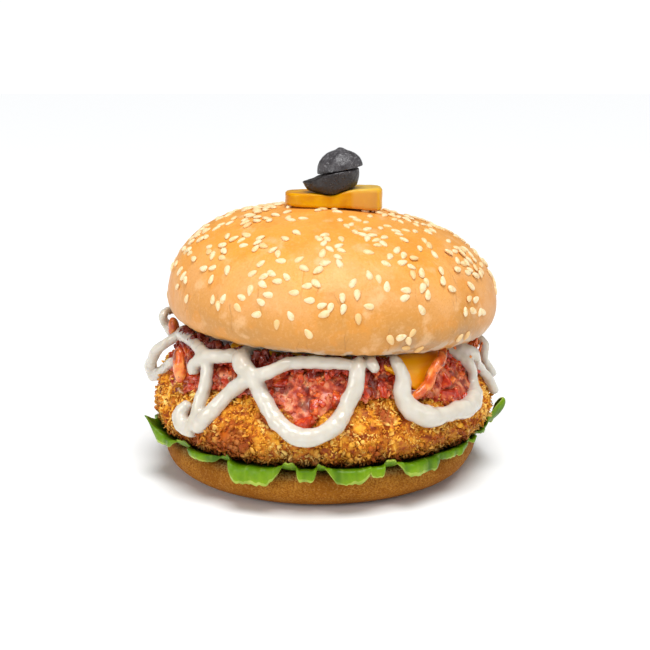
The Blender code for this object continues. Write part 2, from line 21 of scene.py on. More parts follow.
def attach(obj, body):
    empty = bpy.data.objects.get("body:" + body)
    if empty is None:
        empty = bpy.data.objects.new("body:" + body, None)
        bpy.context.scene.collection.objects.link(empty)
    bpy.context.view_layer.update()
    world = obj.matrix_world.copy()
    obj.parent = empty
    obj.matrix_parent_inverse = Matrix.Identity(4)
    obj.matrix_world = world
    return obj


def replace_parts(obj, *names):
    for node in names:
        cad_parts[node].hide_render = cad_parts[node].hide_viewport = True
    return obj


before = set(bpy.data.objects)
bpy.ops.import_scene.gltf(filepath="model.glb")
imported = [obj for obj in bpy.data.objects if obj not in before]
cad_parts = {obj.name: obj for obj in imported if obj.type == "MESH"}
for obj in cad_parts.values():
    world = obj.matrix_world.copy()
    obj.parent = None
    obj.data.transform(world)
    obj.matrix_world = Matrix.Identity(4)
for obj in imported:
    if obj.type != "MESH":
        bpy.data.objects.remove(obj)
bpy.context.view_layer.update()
MM = 0.001
print("nodes", sorted(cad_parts))

# %% [markdown]
# ## Camera
#
# Food is shot with a longer lens from a little above the table, so the stack shows its
# layers. The camera here stands 345 mm from the burger's axis and looks 12.6 degrees down.

# %% Camera


def in_scene(name, data):
    """Adds an object to the scene."""
    made = bpy.data.objects.new(name, data)
    bpy.context.scene.collection.objects.link(made)
    return made


LOOK_DOWN = 12.6
lens = bpy.data.cameras.new("camera")
lens.lens, lens.sensor_width, lens.clip_start = 57.88, 36, 0.01
camera = in_scene("camera", lens)
camera.location = (0, -0.345, 0.1235)
camera.rotation_euler = (math.radians(90 - LOOK_DOWN), 0, 0)
bpy.context.scene.camera = camera
bpy.context.scene.view_settings.view_transform = "Standard"

# %% Helpers that place points round the burger


def around(bearing, radius, height):
    """The point at a bearing in degrees, a distance from the axis and a height."""
    angle = math.radians(bearing)
    return Vector((radius * math.sin(angle), -radius * math.cos(angle), height))


def bearing_of(point):
    return math.degrees(math.atan2(point.x, -point.y))


def smooth_step(value, low, high):
    share = min(1.0, max(0.0, (value - low) / (high - low)))
    return share * share * (3 - 2 * share)


def apart(bearing, other):
    """Degrees between two bearings."""
    return abs((bearing - other + 180) % 360 - 180)


def bump(bearing, centre, half_width):
    """1 at the centre bearing, easing to 0 at half_width degrees on each side."""
    return 1 - smooth_step(apart(bearing, centre), 0, half_width)


def elliptic_arc(centre, radii, start, end, steps):
    """Profile points (radius, height) along an arc, its angles in degrees from +X."""
    angles = [math.radians(start + (end - start) * step / steps) for step in range(steps + 1)]
    return [(centre[0] + radii[0] * math.cos(a), centre[1] + radii[1] * math.sin(a))
            for a in angles]


def between(start, end, steps):
    """Profile points on a straight line, its start left out."""
    return [tuple(s + (e - s) * step / steps for s, e in zip(start, end))
            for step in range(1, steps + 1)]


# %% Helpers that make and finish shapes


def spun(profile, steps):
    """A closed shape turned round Z, from a profile of (radius, height) that runs down."""
    shape = bmesh.new()
    corners = [shape.verts.new((radius, 0, height)) for radius, height in profile]
    edges = [shape.edges.new(pair) for pair in zip(corners, corners[1:])]
    bmesh.ops.spin(shape, geom=corners + edges, cent=(0, 0, 0), axis=(0, 0, 1),
                   angle=math.tau, steps=steps, use_merge=True)
    bmesh.ops.remove_doubles(shape, verts=shape.verts, dist=0.004 * MM)
    bmesh.ops.recalc_face_normals(shape, faces=shape.faces)
    return shape


def everywhere(point):
    return 1.0


def roughen(shape, share, *sizes):
    """Moves points along their normals by noises, each with a depth, a grain and an offset."""
    for depth, grain, offset in sizes:
        shape.normal_update()
        moves = []
        for vert in shape.verts:
            place = vert.co / (grain * MM) + Vector(offset)
            swell = noise.noise(place) + 0.5 * noise.noise(place * 2.1)
            moves.append(vert.normal * (depth * MM) * swell * share(vert.co))
        for vert, move in zip(shape.verts, moves):
            vert.co += move


def moved(shape, matrix):
    bmesh.ops.transform(shape, matrix=matrix, verts=shape.verts)


def spots_on(shape, wanted):
    """The points of a surface that are wanted, each with the way out of it."""
    return [(vert.co.copy(), vert.normal.copy()) for vert in shape.verts if wanted(vert.co)]


def mesh_of(shape, name):
    mesh = bpy.data.meshes.new(name)
    shape.to_mesh(mesh)
    shape.free()
    return mesh


def piece_of(name, mesh, look):
    """Makes a mesh a piece of the burger and says how many faces it has."""
    mesh.shade_smooth()
    mesh.materials.append(look)
    piece = in_scene(name, mesh)
    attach(piece, "root")
    print(name, len(mesh.polygons), "faces")
    return piece


def served(name, shape, look):
    return piece_of(name, mesh_of(shape, name), look)


def strewn(name, shapes, places, look):
    """Joins many copies of a few small shapes into one piece.

    A place is the number of a shape, the matrix that sets a copy down, and its tone, a
    number from 0 to 1 that the material reads from the attribute "tone".
    """
    points, corners, tones, start = [], [], [], 0
    for number, shape in enumerate(shapes):
        bmesh.ops.triangulate(shape, faces=shape.faces)
        shape.verts.index_update()
        flat = np.array([(*vert.co, 1) for vert in shape.verts])
        faces = np.array([[vert.index for vert in face.verts] for face in shape.faces])
        for which, matrix, tone in places:
            if which != number:
                continue
            points.append((flat @ np.array(matrix).T)[:, :3])
            corners.append(faces + start)
            tones.extend([tone] * len(flat))
            start += len(flat)
        shape.free()
    mesh = bpy.data.meshes.new(name)
    mesh.from_pydata(np.concatenate(points).tolist(), [], np.concatenate(corners).tolist())
    mesh.attributes.new("tone", "FLOAT", "POINT").data.foreach_set("value", tones)
    print(len(places), "copies")
    return piece_of(name, mesh, look)


def stood(draw, out, lean):
    """A rotation that stands a copy on a surface, turned at random and leaning a little."""
    turn = Matrix.Rotation(math.tau * draw.random(), 4, "Z")
    tilt = Matrix.Rotation(draw.uniform(-lean, lean), 4, "Y")
    return out.to_track_quat("Z", "Y").to_matrix().to_4x4() @ turn @ tilt


def tumbled(draw):
    """A rotation any way up."""
    return Euler([math.tau * draw.random() for axis in range(3)]).to_matrix().to_4x4()


def set_down(place, rotation, size):
    return Matrix.Translation(place) @ rotation @ Matrix.Scale(size, 4)


def drawn(draw, reach):
    """A vector of three random numbers, each at most reach from 0."""
    return Vector([draw.uniform(-reach, reach) for axis in range(3)])


def thickened(piece, thickness, offset):
    modifier = piece.modifiers.new("thickness", "SOLIDIFY")
    modifier.thickness, modifier.offset = thickness, offset


# %% Helpers for materials
# Sizes, heights and depths in these are in mm


def node(tree, kind, inputs=(), **settings):
    """Adds a node. An input is a value, or the output of another node that feeds it."""
    made = tree.nodes.new("ShaderNode" + kind)
    for key, value in settings.items():
        setattr(made, key, value)
    for key, value in dict(inputs).items():
        if isinstance(value, bpy.types.NodeSocket):
            tree.links.new(value, made.inputs[key])
        else:
            made.inputs[key].default_value = value
    return made


def blank_look(name, roughness, **sockets):
    """A new material, its node tree and its shader, with the constants set on the shader."""
    look = bpy.data.materials.new(name)
    look.use_nodes = True
    shader = look.node_tree.nodes["Principled BSDF"]
    shader.inputs["Roughness"].default_value = roughness
    for socket, value in sockets.items():
        shader.inputs[socket.replace("_", " ")].default_value = value
    return look, look.node_tree, shader


def soft(weight, depth, radii):
    """The settings of flesh that light sinks into: how much, how deep, and its colours."""
    return {"Subsurface_Weight": weight, "Subsurface_Scale": depth * MM,
            "Subsurface_Radius": radii}


def ramp(tree, factor, stops):
    """A colour ramp from (position, (red, green, blue)) stops."""
    made = node(tree, "ValToRGB", {"Fac": factor})
    elements = made.color_ramp.elements
    while len(elements) < len(stops):
        elements.new(0.5)
    for element, (position, colour) in zip(elements, stops):
        element.position = position
        element.color = (*colour, 1)
    return made.outputs["Color"]


def mixed(tree, factor, first, second):
    """Mixes two colours: each is an output or a (red, green, blue)."""
    colours = [value if isinstance(value, bpy.types.NodeSocket) else (*value, 1)
               for value in (first, second)]
    return node(tree, "Mix", {0: factor, 6: colours[0], 7: colours[1]},
                data_type="RGBA").outputs[2]


def math_node(tree, operation, first, second, clamp=False):
    return node(tree, "Math", {0: first, 1: second}, operation=operation,
                use_clamp=clamp).outputs[0]


def times(tree, first, second):
    return math_node(tree, "MULTIPLY", first, second)


def tinted(tree, base, colour, mask, amount):
    """Tints a colour where a mask is 1, by at most the given amount."""
    return mixed(tree, times(tree, mask, amount), base, colour)


def paint(tree, shader, colour):
    tree.links.new(colour, shader.inputs["Base Color"])


def own_place(tree):
    """The piece's own coordinates."""
    return node(tree, "TexCoord").outputs["Object"]


def attribute(tree, name):
    return node(tree, "Attribute", attribute_name=name).outputs["Fac"]


def grit(tree, scale, detail, **more):
    """A fine noise on the piece's own coordinates."""
    return node(tree, "TexNoise", {"Vector": own_place(tree), "Scale": scale,
                                             "Detail": detail, **more}).outputs[0]


def crack_lines(tree, vector, scale, width):
    """1 on the borders of random cells, easing to 0 at the given distance from them."""
    cells = node(tree, "TexVoronoi", {"Vector": vector, "Scale": scale},
                 feature="DISTANCE_TO_EDGE")
    return node(tree, "MapRange",
                {"Value": cells.outputs["Distance"], "From Min": 0.0, "From Max": width,
                 "To Min": 1.0, "To Max": 0.0}).outputs[0]


def effect(name, **inputs):
    """An empty node group with named inputs that puts out a mask, and its two end nodes."""
    group = bpy.data.node_groups.new(name, "ShaderNodeTree")
    for key, value in inputs.items():
        socket = group.interface.new_socket(key, in_out="INPUT", socket_type="NodeSocketFloat")
        socket.default_value = value
    group.interface.new_socket("Mask", in_out="OUTPUT", socket_type="NodeSocketFloat")
    return group, group.nodes.new("NodeGroupInput"), group.nodes.new("NodeGroupOutput")


# %% [markdown]
# Nearly every food here is blotchy: crust browns unevenly, crumb burns at its tips and
# leaves are darker by their veins. One node group gives such patches: a noise on the piece's
# own coordinates, whose size and edge are inputs. A second group gives sharp specks.

# %% Effect groups: patches and specks
patches, start, end = effect("patches", Size=0.01, Detail=3, From=0.4, To=0.6)
scale = math_node(patches, "DIVIDE", 1.0, start.outputs["Size"])
cloud = grit(patches, scale, start.outputs["Detail"])
spread = node(patches, "MapRange",
              {"Value": cloud, "From Min": start.outputs["From"],
               "From Max": start.outputs["To"]}, interpolation_type="SMOOTHSTEP")
patches.links.new(spread.outputs[0], end.inputs["Mask"])

specks, start, end = effect("specks", Size=0.004, Reach=0.08, Share=0.5)
scale = math_node(specks, "DIVIDE", 1.0, start.outputs["Size"])
cells = node(specks, "TexVoronoi", {"Vector": own_place(specks), "Scale": scale})
near = math_node(specks, "LESS_THAN", cells.outputs["Distance"], start.outputs["Reach"])
picked = node(specks, "SeparateColor", {"Color": cells.outputs["Color"]})
chosen = math_node(specks, "LESS_THAN", picked.outputs[0], start.outputs["Share"])
specks.links.new(times(specks, near, chosen), end.inputs["Mask"])


def patchy(tree, size, low, high, detail=3):
    return node(tree, "Group", {"Size": size * MM, "From": low, "To": high,
                                          "Detail": detail}, node_tree=patches).outputs["Mask"]


def speckled(tree, size, reach, share):
    return node(tree, "Group", {"Size": size * MM, "Reach": reach, "Share": share},
                node_tree=specks).outputs["Mask"]


def blotched(tree, base, *blotches):
    """Tints a colour by patches: size in mm, mask from and to, detail, amount, colour."""
    for size, low, high, detail, amount, colour in blotches:
        base = tinted(tree, base, colour, patchy(tree, size, low, high, detail), amount)
    return base


def relief(tree, shader, height, distance, strength):
    """Feeds a height into the shader's normal."""
    made = node(tree, "Bump", {"Height": height, "Distance": distance * MM,
                                         "Strength": strength})
    tree.links.new(made.outputs[0], shader.inputs["Normal"])


def level(tree, low, high, axis="Z"):
    """0 at one height on the burger and 1 at another, or so along another axis."""
    place = node(tree, "SeparateXYZ", {0: own_place(tree)})
    return node(tree, "MapRange", {"Value": place.outputs[axis], "From Min": low * MM,
                                   "From Max": high * MM}).outputs[0]


def below(tree, low, high):
    """1 at the lower height and 0 at the higher one."""
    return math_node(tree, "SUBTRACT", 1.0, level(tree, low, high), clamp=True)


# %% [markdown]
# ## Bottom half of the bun
#
# The heel is baked against a steel tray, so its side is browner than the crown, dry, and
# finely pitted. It is a turned shape: a profile from the middle of the cut face down to the
# middle of the underside, spun round the axis, then swollen a little by noise.

# %% Heel crust
heel_crust, tree, shader = blank_look("heel_crust", 0.7, Specular_IOR_Level=0.06)
toast = ramp(tree, level(tree, 0, 12),
             ((0.0, (0.29, 0.095, 0.008)), (0.35, (0.40, 0.150, 0.014)),
              (0.85, (0.48, 0.200, 0.025)), (1.0, (0.62, 0.38, 0.14))))
paint(tree, shader, blotched(tree, toast, (11, 0.42, 0.62, 3, 1, (0.33, 0.112, 0.008)),
                             (0.5, 0.40, 0.62, 5, 1, (0.26, 0.080, 0.006)),
                             (0.7, 0.52, 0.62, 5, 0.4, (0.56, 0.26, 0.06))))
relief(tree, shader, grit(tree, 1500.0, 4.0, Roughness=0.75), 0.3, 1.0)

# %% Heel
HEEL_CENTRE = Vector((-1.6, 0, 0)) * MM
HEEL_RADIUS = 52.8 * MM
HEEL_HEIGHT = 12.5 * MM


def heel_side(point):
    lifted = smooth_step(point.z, 0, 5 * MM)
    return lifted * (1 - smooth_step(point.z, HEEL_HEIGHT - 3 * MM, HEEL_HEIGHT))


CUT_EDGE, FOOT = (3.2 * MM, 3.2 * MM), (11 * MM, 8.5 * MM)
profile = [(0, HEEL_HEIGHT), (30 * MM, HEEL_HEIGHT), (44 * MM, HEEL_HEIGHT)]
profile += elliptic_arc((HEEL_RADIUS - CUT_EDGE[0], HEEL_HEIGHT - CUT_EDGE[1]), CUT_EDGE,
                        90, 0, 8)
profile += elliptic_arc((HEEL_RADIUS - FOOT[0], FOOT[1]), FOOT, 0, -90, 16)
profile += [(24 * MM, 0), (0, 0)]
heel = spun(profile, 200)
roughen(heel, heel_side, (0.5, 22, (3, 1, 7)), (0.12, 4, (3, 8, 1)))
moved(heel, Matrix.Translation(HEEL_CENTRE))
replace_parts(served("bottom_bun_crust", heel, heel_crust), "bottom_bun")

# %% [markdown]
# ## Top half of the bun
#
# The crown is brushed with egg before it bakes, so it is glossy and golden, deepest on top
# and palest round the rim, which the next bun in the tray kept from browning. The skin
# wrinkles a little low on its side as it cools. The dome is spun like the heel and each
# point is then lifted to the dome's height, which is fuller on the burger's left.

# %% Crown shape
CROWN_RADIUS = 54.6 * MM
CROWN_HEIGHT = 37.0 * MM
RIM = (5.6 * MM, 8 * MM)
CROWN_FRAME = (Matrix.Translation(Vector((1.9, 0, 48.6)) * MM)
               @ Matrix.Rotation(math.radians(2.6), 4, "Y"))


def dome_height(place):
    """Height of the dome above its widest ring."""
    share = min(1.0, place.xy.length / CROWN_RADIUS)
    lean = 1 - 0.05 * place.x / CROWN_RADIUS
    knob = 1.0 * MM * (1 - smooth_step(share, 0.2, 0.48))
    return (CROWN_HEIGHT - RIM[1]) * lean * math.sqrt(1 - share ** 3) + knob


def crown_surface(bearing, radius):
    """A point of the dome in the crown's own frame, and the way out of it."""
    step = 0.2 * MM
    point = around(bearing, radius, 0)
    falls = [dome_height(point - move) - dome_height(point + move)
             for move in (Vector((step, 0, 0)), Vector((0, step, 0)))]
    point.z = RIM[1] + dome_height(point)
    return point, Vector((*falls, 2 * step)).normalized()


def above_rim(point):
    return smooth_step(point.z, 0, 8 * MM)


shares = [math.sin(math.radians(90 * step / 44)) for step in range(44)]
profile = [(CROWN_RADIUS * share, RIM[1] + 1 * MM) for share in shares]
profile += elliptic_arc((CROWN_RADIUS - RIM[0], RIM[1]), RIM, 0, -90, 16)
profile += [(46 * MM, 0), (26 * MM, 0), (0, 0)]
crown = spun(profile, 260)
for vert in crown.verts:
    if vert.co.z > RIM[1] + 0.5 * MM:
        vert.co.z = RIM[1] + dome_height(vert.co)
roughen(crown, above_rim, (0.45, 26, (6, 1, 2)), (0.1, 5, (1, 7, 2)))
for vert in crown.verts:
    if vert.co.z < 4 * MM and vert.co.xy.length > 44 * MM:
        torn = noise.noise(vert.co / (2.2 * MM)) + 0.8 * noise.noise(vert.co / (6 * MM))
        vert.co.z += 0.55 * MM * torn * (1 - vert.co.z / (4 * MM))
moved(crown, CROWN_FRAME)

# %% Crown crust
crown_crust, tree, shader = blank_look("crown_crust", 0.42, Specular_IOR_Level=0.3,
                                       Coat_Weight=0.06, Coat_Roughness=0.3)
wander = times(tree, patchy(tree, 15, 0.3, 0.7), 0.24)
up = math_node(tree, "ADD", level(tree, 48, 86), wander)
up = math_node(tree, "SUBTRACT", up, 0.12)
bake = ramp(tree, up, ((0.01, (0.48, 0.27, 0.12)), (0.07, (0.56, 0.27, 0.07)),
                       (0.22, (0.66, 0.29, 0.055)), (0.44, (0.79, 0.38, 0.12)),
                       (0.62, (0.84, 0.40, 0.10)), (0.80, (0.84, 0.35, 0.045)),
                       (1.0, (0.86, 0.38, 0.06))))
bake = blotched(tree, bake, (9, 0.50, 0.62, 3, 0.5, (0.77, 0.30, 0.035)),
                (7, 0.56, 0.70, 5, 0.5, (0.90, 0.56, 0.28)),
                (0.5, 0.48, 0.68, 6, 0.30, (0.58, 0.22, 0.035)),
                (0.9, 0.52, 0.66, 6, 0.12, (0.93, 0.62, 0.32)))
smear = times(tree, below(tree, 49, 51.5), patchy(tree, 4, 0.48, 0.56, 4))
bake = tinted(tree, bake, (0.62, 0.50, 0.36), smear, 0.8)

# %% Creases of the crown's skin, with painted shade in them
place = node(tree, "SeparateXYZ", {0: own_place(tree)})
turn = math_node(tree, "ARCTAN2", place.outputs["X"], times(tree, place.outputs["Y"], -1.0))
turn = math_node(tree, "ADD", times(tree, turn, 6.5), times(tree, grit(tree, 160.0, 2.0), 0.55))
strips = node(tree, "CombineXYZ", {0: turn, 1: times(tree, place.outputs["Z"], 26.0)})
crease = times(tree, crack_lines(tree, strips.outputs[0], 1.0, 0.03),
               patchy(tree, 10, 0.50, 0.60))
crease = times(tree, crease, below(tree, 66, 80))
# The creases are sunk by the relief and also painted darker: painted shade in the creases.
paint(tree, shader, tinted(tree, bake, (0.60, 0.28, 0.07), crease, 0.4))
height = math_node(tree, "SUBTRACT", grit(tree, 1100.0, 5.0), times(tree, crease, 1.2))
height = math_node(tree, "ADD", height, times(tree, grit(tree, 240.0, 3.0), 1.6))
relief(tree, shader, height, 0.16, 0.8)
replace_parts(served("top_bun_crust", crown, crown_crust), "top_bun")

# %% [markdown]
# ## Sesame seeds
#
# A sesame seed is a flat drop about 3 mm long, ivory, pointed at one end. Seeds stick where
# they fall on the wet glaze, in loose clusters, and thin out towards the rim. One drop shape
# is set down a few hundred times, each turned and sized a little differently.

# %% Seeds
seed_coat, tree, shader = blank_look("seed_coat", 0.45, Specular_IOR_Level=0.3)
hull = ramp(tree, attribute(tree, "tone"), (
    (0.0, (0.80, 0.47, 0.17)), (0.3, (0.88, 0.64, 0.33)), (1.0, (0.90, 0.74, 0.47))))
paint(tree, shader, blotched(tree, hull, (1.1, 0.45, 0.7, 3, 0.7, (0.80, 0.52, 0.20))))

drop = bmesh.new()
bmesh.ops.create_uvsphere(drop, u_segments=10, v_segments=7, radius=0.5)
for vert in drop.verts:
    along, across, up = vert.co.z, vert.co.x, vert.co.y
    vert.co = Vector((along, across * (0.60 - 0.36 * along), up * 0.34))


def crown_side(bearing, height):
    """A point of the crown's side at a height above its cut face, and the way out."""
    def radius_at(level_here):
        if level_here > RIM[1]:
            share = min(1.0, (level_here - RIM[1]) / (CROWN_HEIGHT - RIM[1]))
            return CROWN_RADIUS * (1 - share ** 2) ** (1 / 3)
        return CROWN_RADIUS - RIM[0] + RIM[0] * math.sqrt(1 - (1 - level_here / RIM[1]) ** 2)

    step = 0.3 * MM
    slope = (radius_at(height + step) - radius_at(height - step)) / (2 * step)
    return around(bearing, radius_at(height), height), around(bearing, 1, -slope).normalized()


SEED_COUNT, SEED_SPACING, CLUSTER_SIZES = 500, 2.2 * MM, (1, 1, 2, 2, 3, 4, 5)
draw = random.Random(23)
placed, places = [], []
while len(placed) < SEED_COUNT:
    upper = draw.random() < 0.75
    radius = math.sqrt(draw.uniform(9 ** 2, 50 ** 2)) * MM
    height = (2.5 + 24 * draw.random() ** 0.8) * MM
    middle = 360 * draw.random()
    for member in range(draw.choice(CLUSTER_SIZES)):
        bearing = middle + draw.uniform(-6, 6) * (30 * MM / radius if upper else 1)
        if upper:
            place, out = crown_surface(bearing, max(9 * MM, radius + draw.uniform(-4, 4) * MM))
        else:
            place, out = crown_side(bearing, max(2 * MM, height + draw.uniform(-4, 4) * MM))
        if all((place - other).length > SEED_SPACING for other in placed):
            placed.append(place)
            low = 1 - smooth_step(place.z, 4 * MM, 12 * MM)
            size = draw.uniform(3.0, 3.6) * MM
            spot = set_down(place + out * 0.18 * MM, stood(draw, out, 0.12), size)
            places.append((0, CROWN_FRAME @ spot, draw.random() ** (0.4 + 1.2 * low)))
strewn("sesame_seeds", [drop], places, seed_coat)

# %% [markdown]
# ## Lettuce leaf
#
# A leaf under the patty hangs over the heel's edge in soft lobes. It is thin and waxy: light
# comes through the pale edge, and faint veins run outwards. Its colour is painted darker
# towards the patty, as shade under it, and in the valleys of its pleats, as shade in the
# folds. It is spun as rings, each point is led along the leaf's own route, and a Solidify
# modifier gives the blade its thickness.

# %% Leaf blade material
leaf_green, tree, shader = blank_look("leaf_green", 0.38, Specular_IOR_Level=0.22,
                                      **soft(0.1, 1, (0.5, 1.0, 0.1)))
# The blade is darkest where it runs in under the patty and lightens outwards: painted shade
# under the patty.
share = math_node(tree, "ADD", attribute(tree, "share"),
                  times(tree, patchy(tree, 7, 0.3, 0.7), 0.06))
blade = ramp(tree, share, ((0.0, (0.010, 0.022, 0.0)), (0.40, (0.022, 0.060, 0.0)),
                           (0.62, (0.062, 0.15, 0.0)), (0.85, (0.145, 0.28, 0.0)),
                           (0.99, (0.22, 0.37, 0.001)), (1.03, (0.45, 0.58, 0.08))))
blade = blotched(tree, blade, (3, 0.3, 0.75, 3, 0.5, (0.06, 0.17, 0.001)))
# The valleys of the pleats are painted darker: painted shade in the folds.
blade = tinted(tree, blade, (0.028, 0.095, 0.001), attribute(tree, "fold"), 0.75)
paint(tree, shader, mixed(tree, attribute(tree, "vein"), blade, (0.24, 0.36, 0.04)))
relief(tree, shader, grit(tree, 220.0, 4.0), 1.1, 0.8)

# %% Leaf
LEAF_FLAT_RADIUS, LEAF_WIDTH, LEAF_RINGS = 46.0 * MM, 12 * MM, 24
LEAF_LEVEL = HEEL_HEIGHT + 0.7 * MM
LEAF_NOTCH = 17.2
# Each lobe: bearing and half width in degrees, and the height of its edge in mm
LEAF_LOBES = (
    (-83, 6, 15), (-62.5, 8, 13.5), (-41, 9.5, 14), (-22, 10.5, 10.3), (-5.5, 4, 12.1),
    (7, 8.5, 11.3), (15.5, 3.6, 13), (31, 10, 11.8), (45, 12, 14), (59.5, 4, 15),
    (69, 7, 15), (92, 12, 13), (112, 18, 11), (148, 22, 12), (-176, 20, 10.5),
    (-142, 20, 12), (-106, 16, 13),
)


def leaf_edge(bearing):
    """How far the leaf reaches at a bearing, and how high its edge is there, in mm."""
    height = LEAF_NOTCH
    for centre, half_width, low in LEAF_LOBES:
        hang = 1 - smooth_step(apart(bearing, centre), 0.45 * half_width, half_width)
        height = min(height, LEAF_NOTCH + (low - LEAF_NOTCH) * hang)
    reach = max(57.4 - 2.6 * smooth_step(height, 13.5, 16.5), 55 + 0.75 * (height - 16))
    return Vector((reach, height))


def leaf_route(bearing):
    """The four steering points of the leaf's way out, as (radius, height) in mm."""
    edge = leaf_edge(bearing)
    hang = 1 - smooth_step(edge.y, 14, 17)
    near = Vector((54, 12.9))
    far = Vector((55 + 3.5 * hang, 16 + 3 * hang))
    left, right = bump(bearing, -70, 9), bump(bearing, 79, 8)
    near = near.lerp(Vector((59, 12.6)), left).lerp(Vector((58, 12.9)), right)
    far = far.lerp(Vector((64, 28)), left).lerp(Vector((64, 23)), right)
    edge = edge.lerp(Vector((57.8, edge.y)), left).lerp(Vector((61, 24.5)), right)
    aside = Vector((-1.0 * math.sin(math.radians(bearing)), 0))
    return Vector((46, 13.2)), near + aside, far + aside, edge + aside


def along_route(route, share):
    """The point at a share of the way along a cubic Bezier curve."""
    rest = 1 - share
    return (route[0] * rest ** 3 + route[1] * 3 * rest ** 2 * share
            + route[2] * 3 * rest * share ** 2 + route[3] * share ** 3)


def ripple(bearing, coarse, fine):
    """A noise round the leaf: each size is a strength and the noise's radius and height."""
    return sum(strength * noise.noise(around(bearing, radius, height))
               for strength, radius, height in (coarse, fine))


rings = [0, 30 * MM, 40 * MM] + [LEAF_FLAT_RADIUS + step / LEAF_RINGS * LEAF_WIDTH
                                 for step in range(LEAF_RINGS + 1)]
leaf = spun([(radius, LEAF_LEVEL) for radius in rings], 900)
share_layer, vein_layer, fold_layer = (leaf.verts.layers.float.new(name)
                                       for name in ("share", "vein", "fold"))
for vert in leaf.verts:
    share = (vert.co.xy.length - LEAF_FLAT_RADIUS) / LEAF_WIDTH
    vert[share_layer] = min(1.0, max(0.0, share))
    if share > 0.01:
        bearing = bearing_of(vert.co)
        ragged = ripple(bearing, (1.4, 11, 7), (0.6, 30, 3))
        place = along_route(leaf_route(bearing + ragged), share)
        pleat = ripple(bearing, (1, 8, 5), (0.6, 20, 2))
        # This attribute marks the valleys of the pleats, where the leaf's material paints
        # shade.
        vert[fold_layer] = smooth_step(-pleat, -0.1, 0.5)
        crinkle = noise.noise(around(bearing, 50, 9)) * share ** 5
        place += Vector((1.1, -0.5)) * pleat * share + Vector((0.35, 0.6)) * crinkle
        vert.co = around(bearing, place.x * MM, max(place.y, 13.0 + 0.4 * share ** 0.5
                                                    - 9 * smooth_step(share, 0.4, 1)) * MM)
        rib = abs((bearing * 0.13 + 1.4 * noise.noise(around(bearing, 3, 4))) % 1 - 0.5)
        vert[vein_layer] = 0.7 * (1 - smooth_step(rib, 0.01, 0.05)) * (1 - share ** 3)
leaf_piece = served("lettuce_blade", leaf, leaf_green)
thickened(leaf_piece, 0.45 * MM, 0)
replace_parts(leaf_piece, "lettuce_leaf")

# %% [markdown]
# ## Breaded chicken patty
#
# The cutlet is rolled in coarse crumb and fried, which leaves a craggy crust of flakes and
# splinters, golden where they stand out and red-brown where they are thin or burnt. The core
# is a spun shape with five sizes of noise. Thousands of grains, flakes and splinters then
# stand on its side, because noise alone never gives the sharp, separate look of real crumb.

# %% Patty core
PATTY_CENTRE = Vector((-1.0, 0, 0)) * MM
PATTY_RADIUS, PATTY_BOTTOM, PATTY_WAIST = 56.0 * MM, 14.2 * MM, 22.0 * MM
PATTY_SHOULDER, PATTY_TOP = 35.5 * MM, 37.5 * MM


def patty_lift(point):
    """The cutlet curls up on the burger's left, as thick meat does when it fries."""
    upper = smooth_step(point.z, PATTY_WAIST, PATTY_SHOULDER)
    outer = smooth_step(point.xy.length, 30 * MM, 48 * MM)
    return 4.0 * MM * bump(bearing_of(point), -84, 50) * upper * outer


def patty_outside(point):
    return smooth_step(point.xy.length, 40 * MM, 52 * MM) * (0.3 + 0.7 * smooth_step(
        point.z, PATTY_BOTTOM + 1 * MM, PATTY_WAIST))


lower = (10 * MM, PATTY_WAIST - PATTY_BOTTOM)
upper = (15 * MM, PATTY_SHOULDER - PATTY_WAIST)
profile = [(0, PATTY_TOP), (20 * MM, PATTY_TOP - 0.3 * MM), (30 * MM, PATTY_TOP - 0.6 * MM)]
profile += between(profile[-1], (PATTY_RADIUS - upper[0], PATTY_SHOULDER), 8)
profile += elliptic_arc((PATTY_RADIUS - upper[0], PATTY_WAIST), upper, 90, 0, 30)[1:]
profile += elliptic_arc((PATTY_RADIUS - lower[0], PATTY_WAIST), lower, 0, -90, 18)[1:]
profile += between(profile[-1], (38 * MM, PATTY_BOTTOM), 5) + [(0, PATTY_BOTTOM)]
patty = spun(profile, 400)
roughen(patty, patty_outside, (1.2, 30, (5, 2, 1)), (1.4, 7.5, (1, 9, 4)))
for vert in patty.verts:
    vert.co.z += patty_lift(vert.co)
roughen(patty, patty_outside, (0.9, 4.2, (4, 4, 8)), (0.7, 2.2, (4, 4, 1)),
        (0.3, 1.1, (4, 7, 1)))
moved(patty, Matrix.Translation(PATTY_CENTRE))
patty.normal_update()
crumb_spots = spots_on(patty, lambda point: point.xy.length > 41 * MM
                       and point.z > PATTY_BOTTOM + 0.2 * MM)
print("places for crumb", len(crumb_spots))

# %% Crumb materials


def fried(name, pale, gold, dark, by_tone):
    """Fried crumb: golden, with burnt and ruddy patches, darker low on the side."""
    look, tree, shader = blank_look(name, 0.5, Specular_IOR_Level=0.22)
    factor = attribute(tree, "tone") if by_tone else patchy(tree, 2.2, 0.3, 0.7, 4)
    crumb = ramp(tree, factor, ((0.0, dark), (0.42, gold), (1.0, pale)))
    crumb = blotched(tree, crumb, (9, 0.51, 0.62, 4, 0.85, (0.44, 0.080, 0.006)))
    low = times(tree, below(tree, 14, 24), patchy(tree, 5, 0.0, 0.5))
    paint(tree, shader, mixed(tree, low, crumb, (0.17, 0.03, 0.003)))
    relief(tree, shader, grit(tree, 1500.0, 3.0), 0.2, 0.7)
    return look


core_crumb = fried("core_crumb", (0.90, 0.42, 0.03), (0.62, 0.18, 0.008), (0.24, 0.035, 0.002),
                   False)
loose_crumb = fried("loose_crumb", (1.0, 0.68, 0.18), (0.96, 0.46, 0.035),
                    (0.52, 0.12, 0.006), True)
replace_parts(served("chicken_patty_core", patty, core_crumb), "chicken_patty")

# %% Crumb flakes and splinters


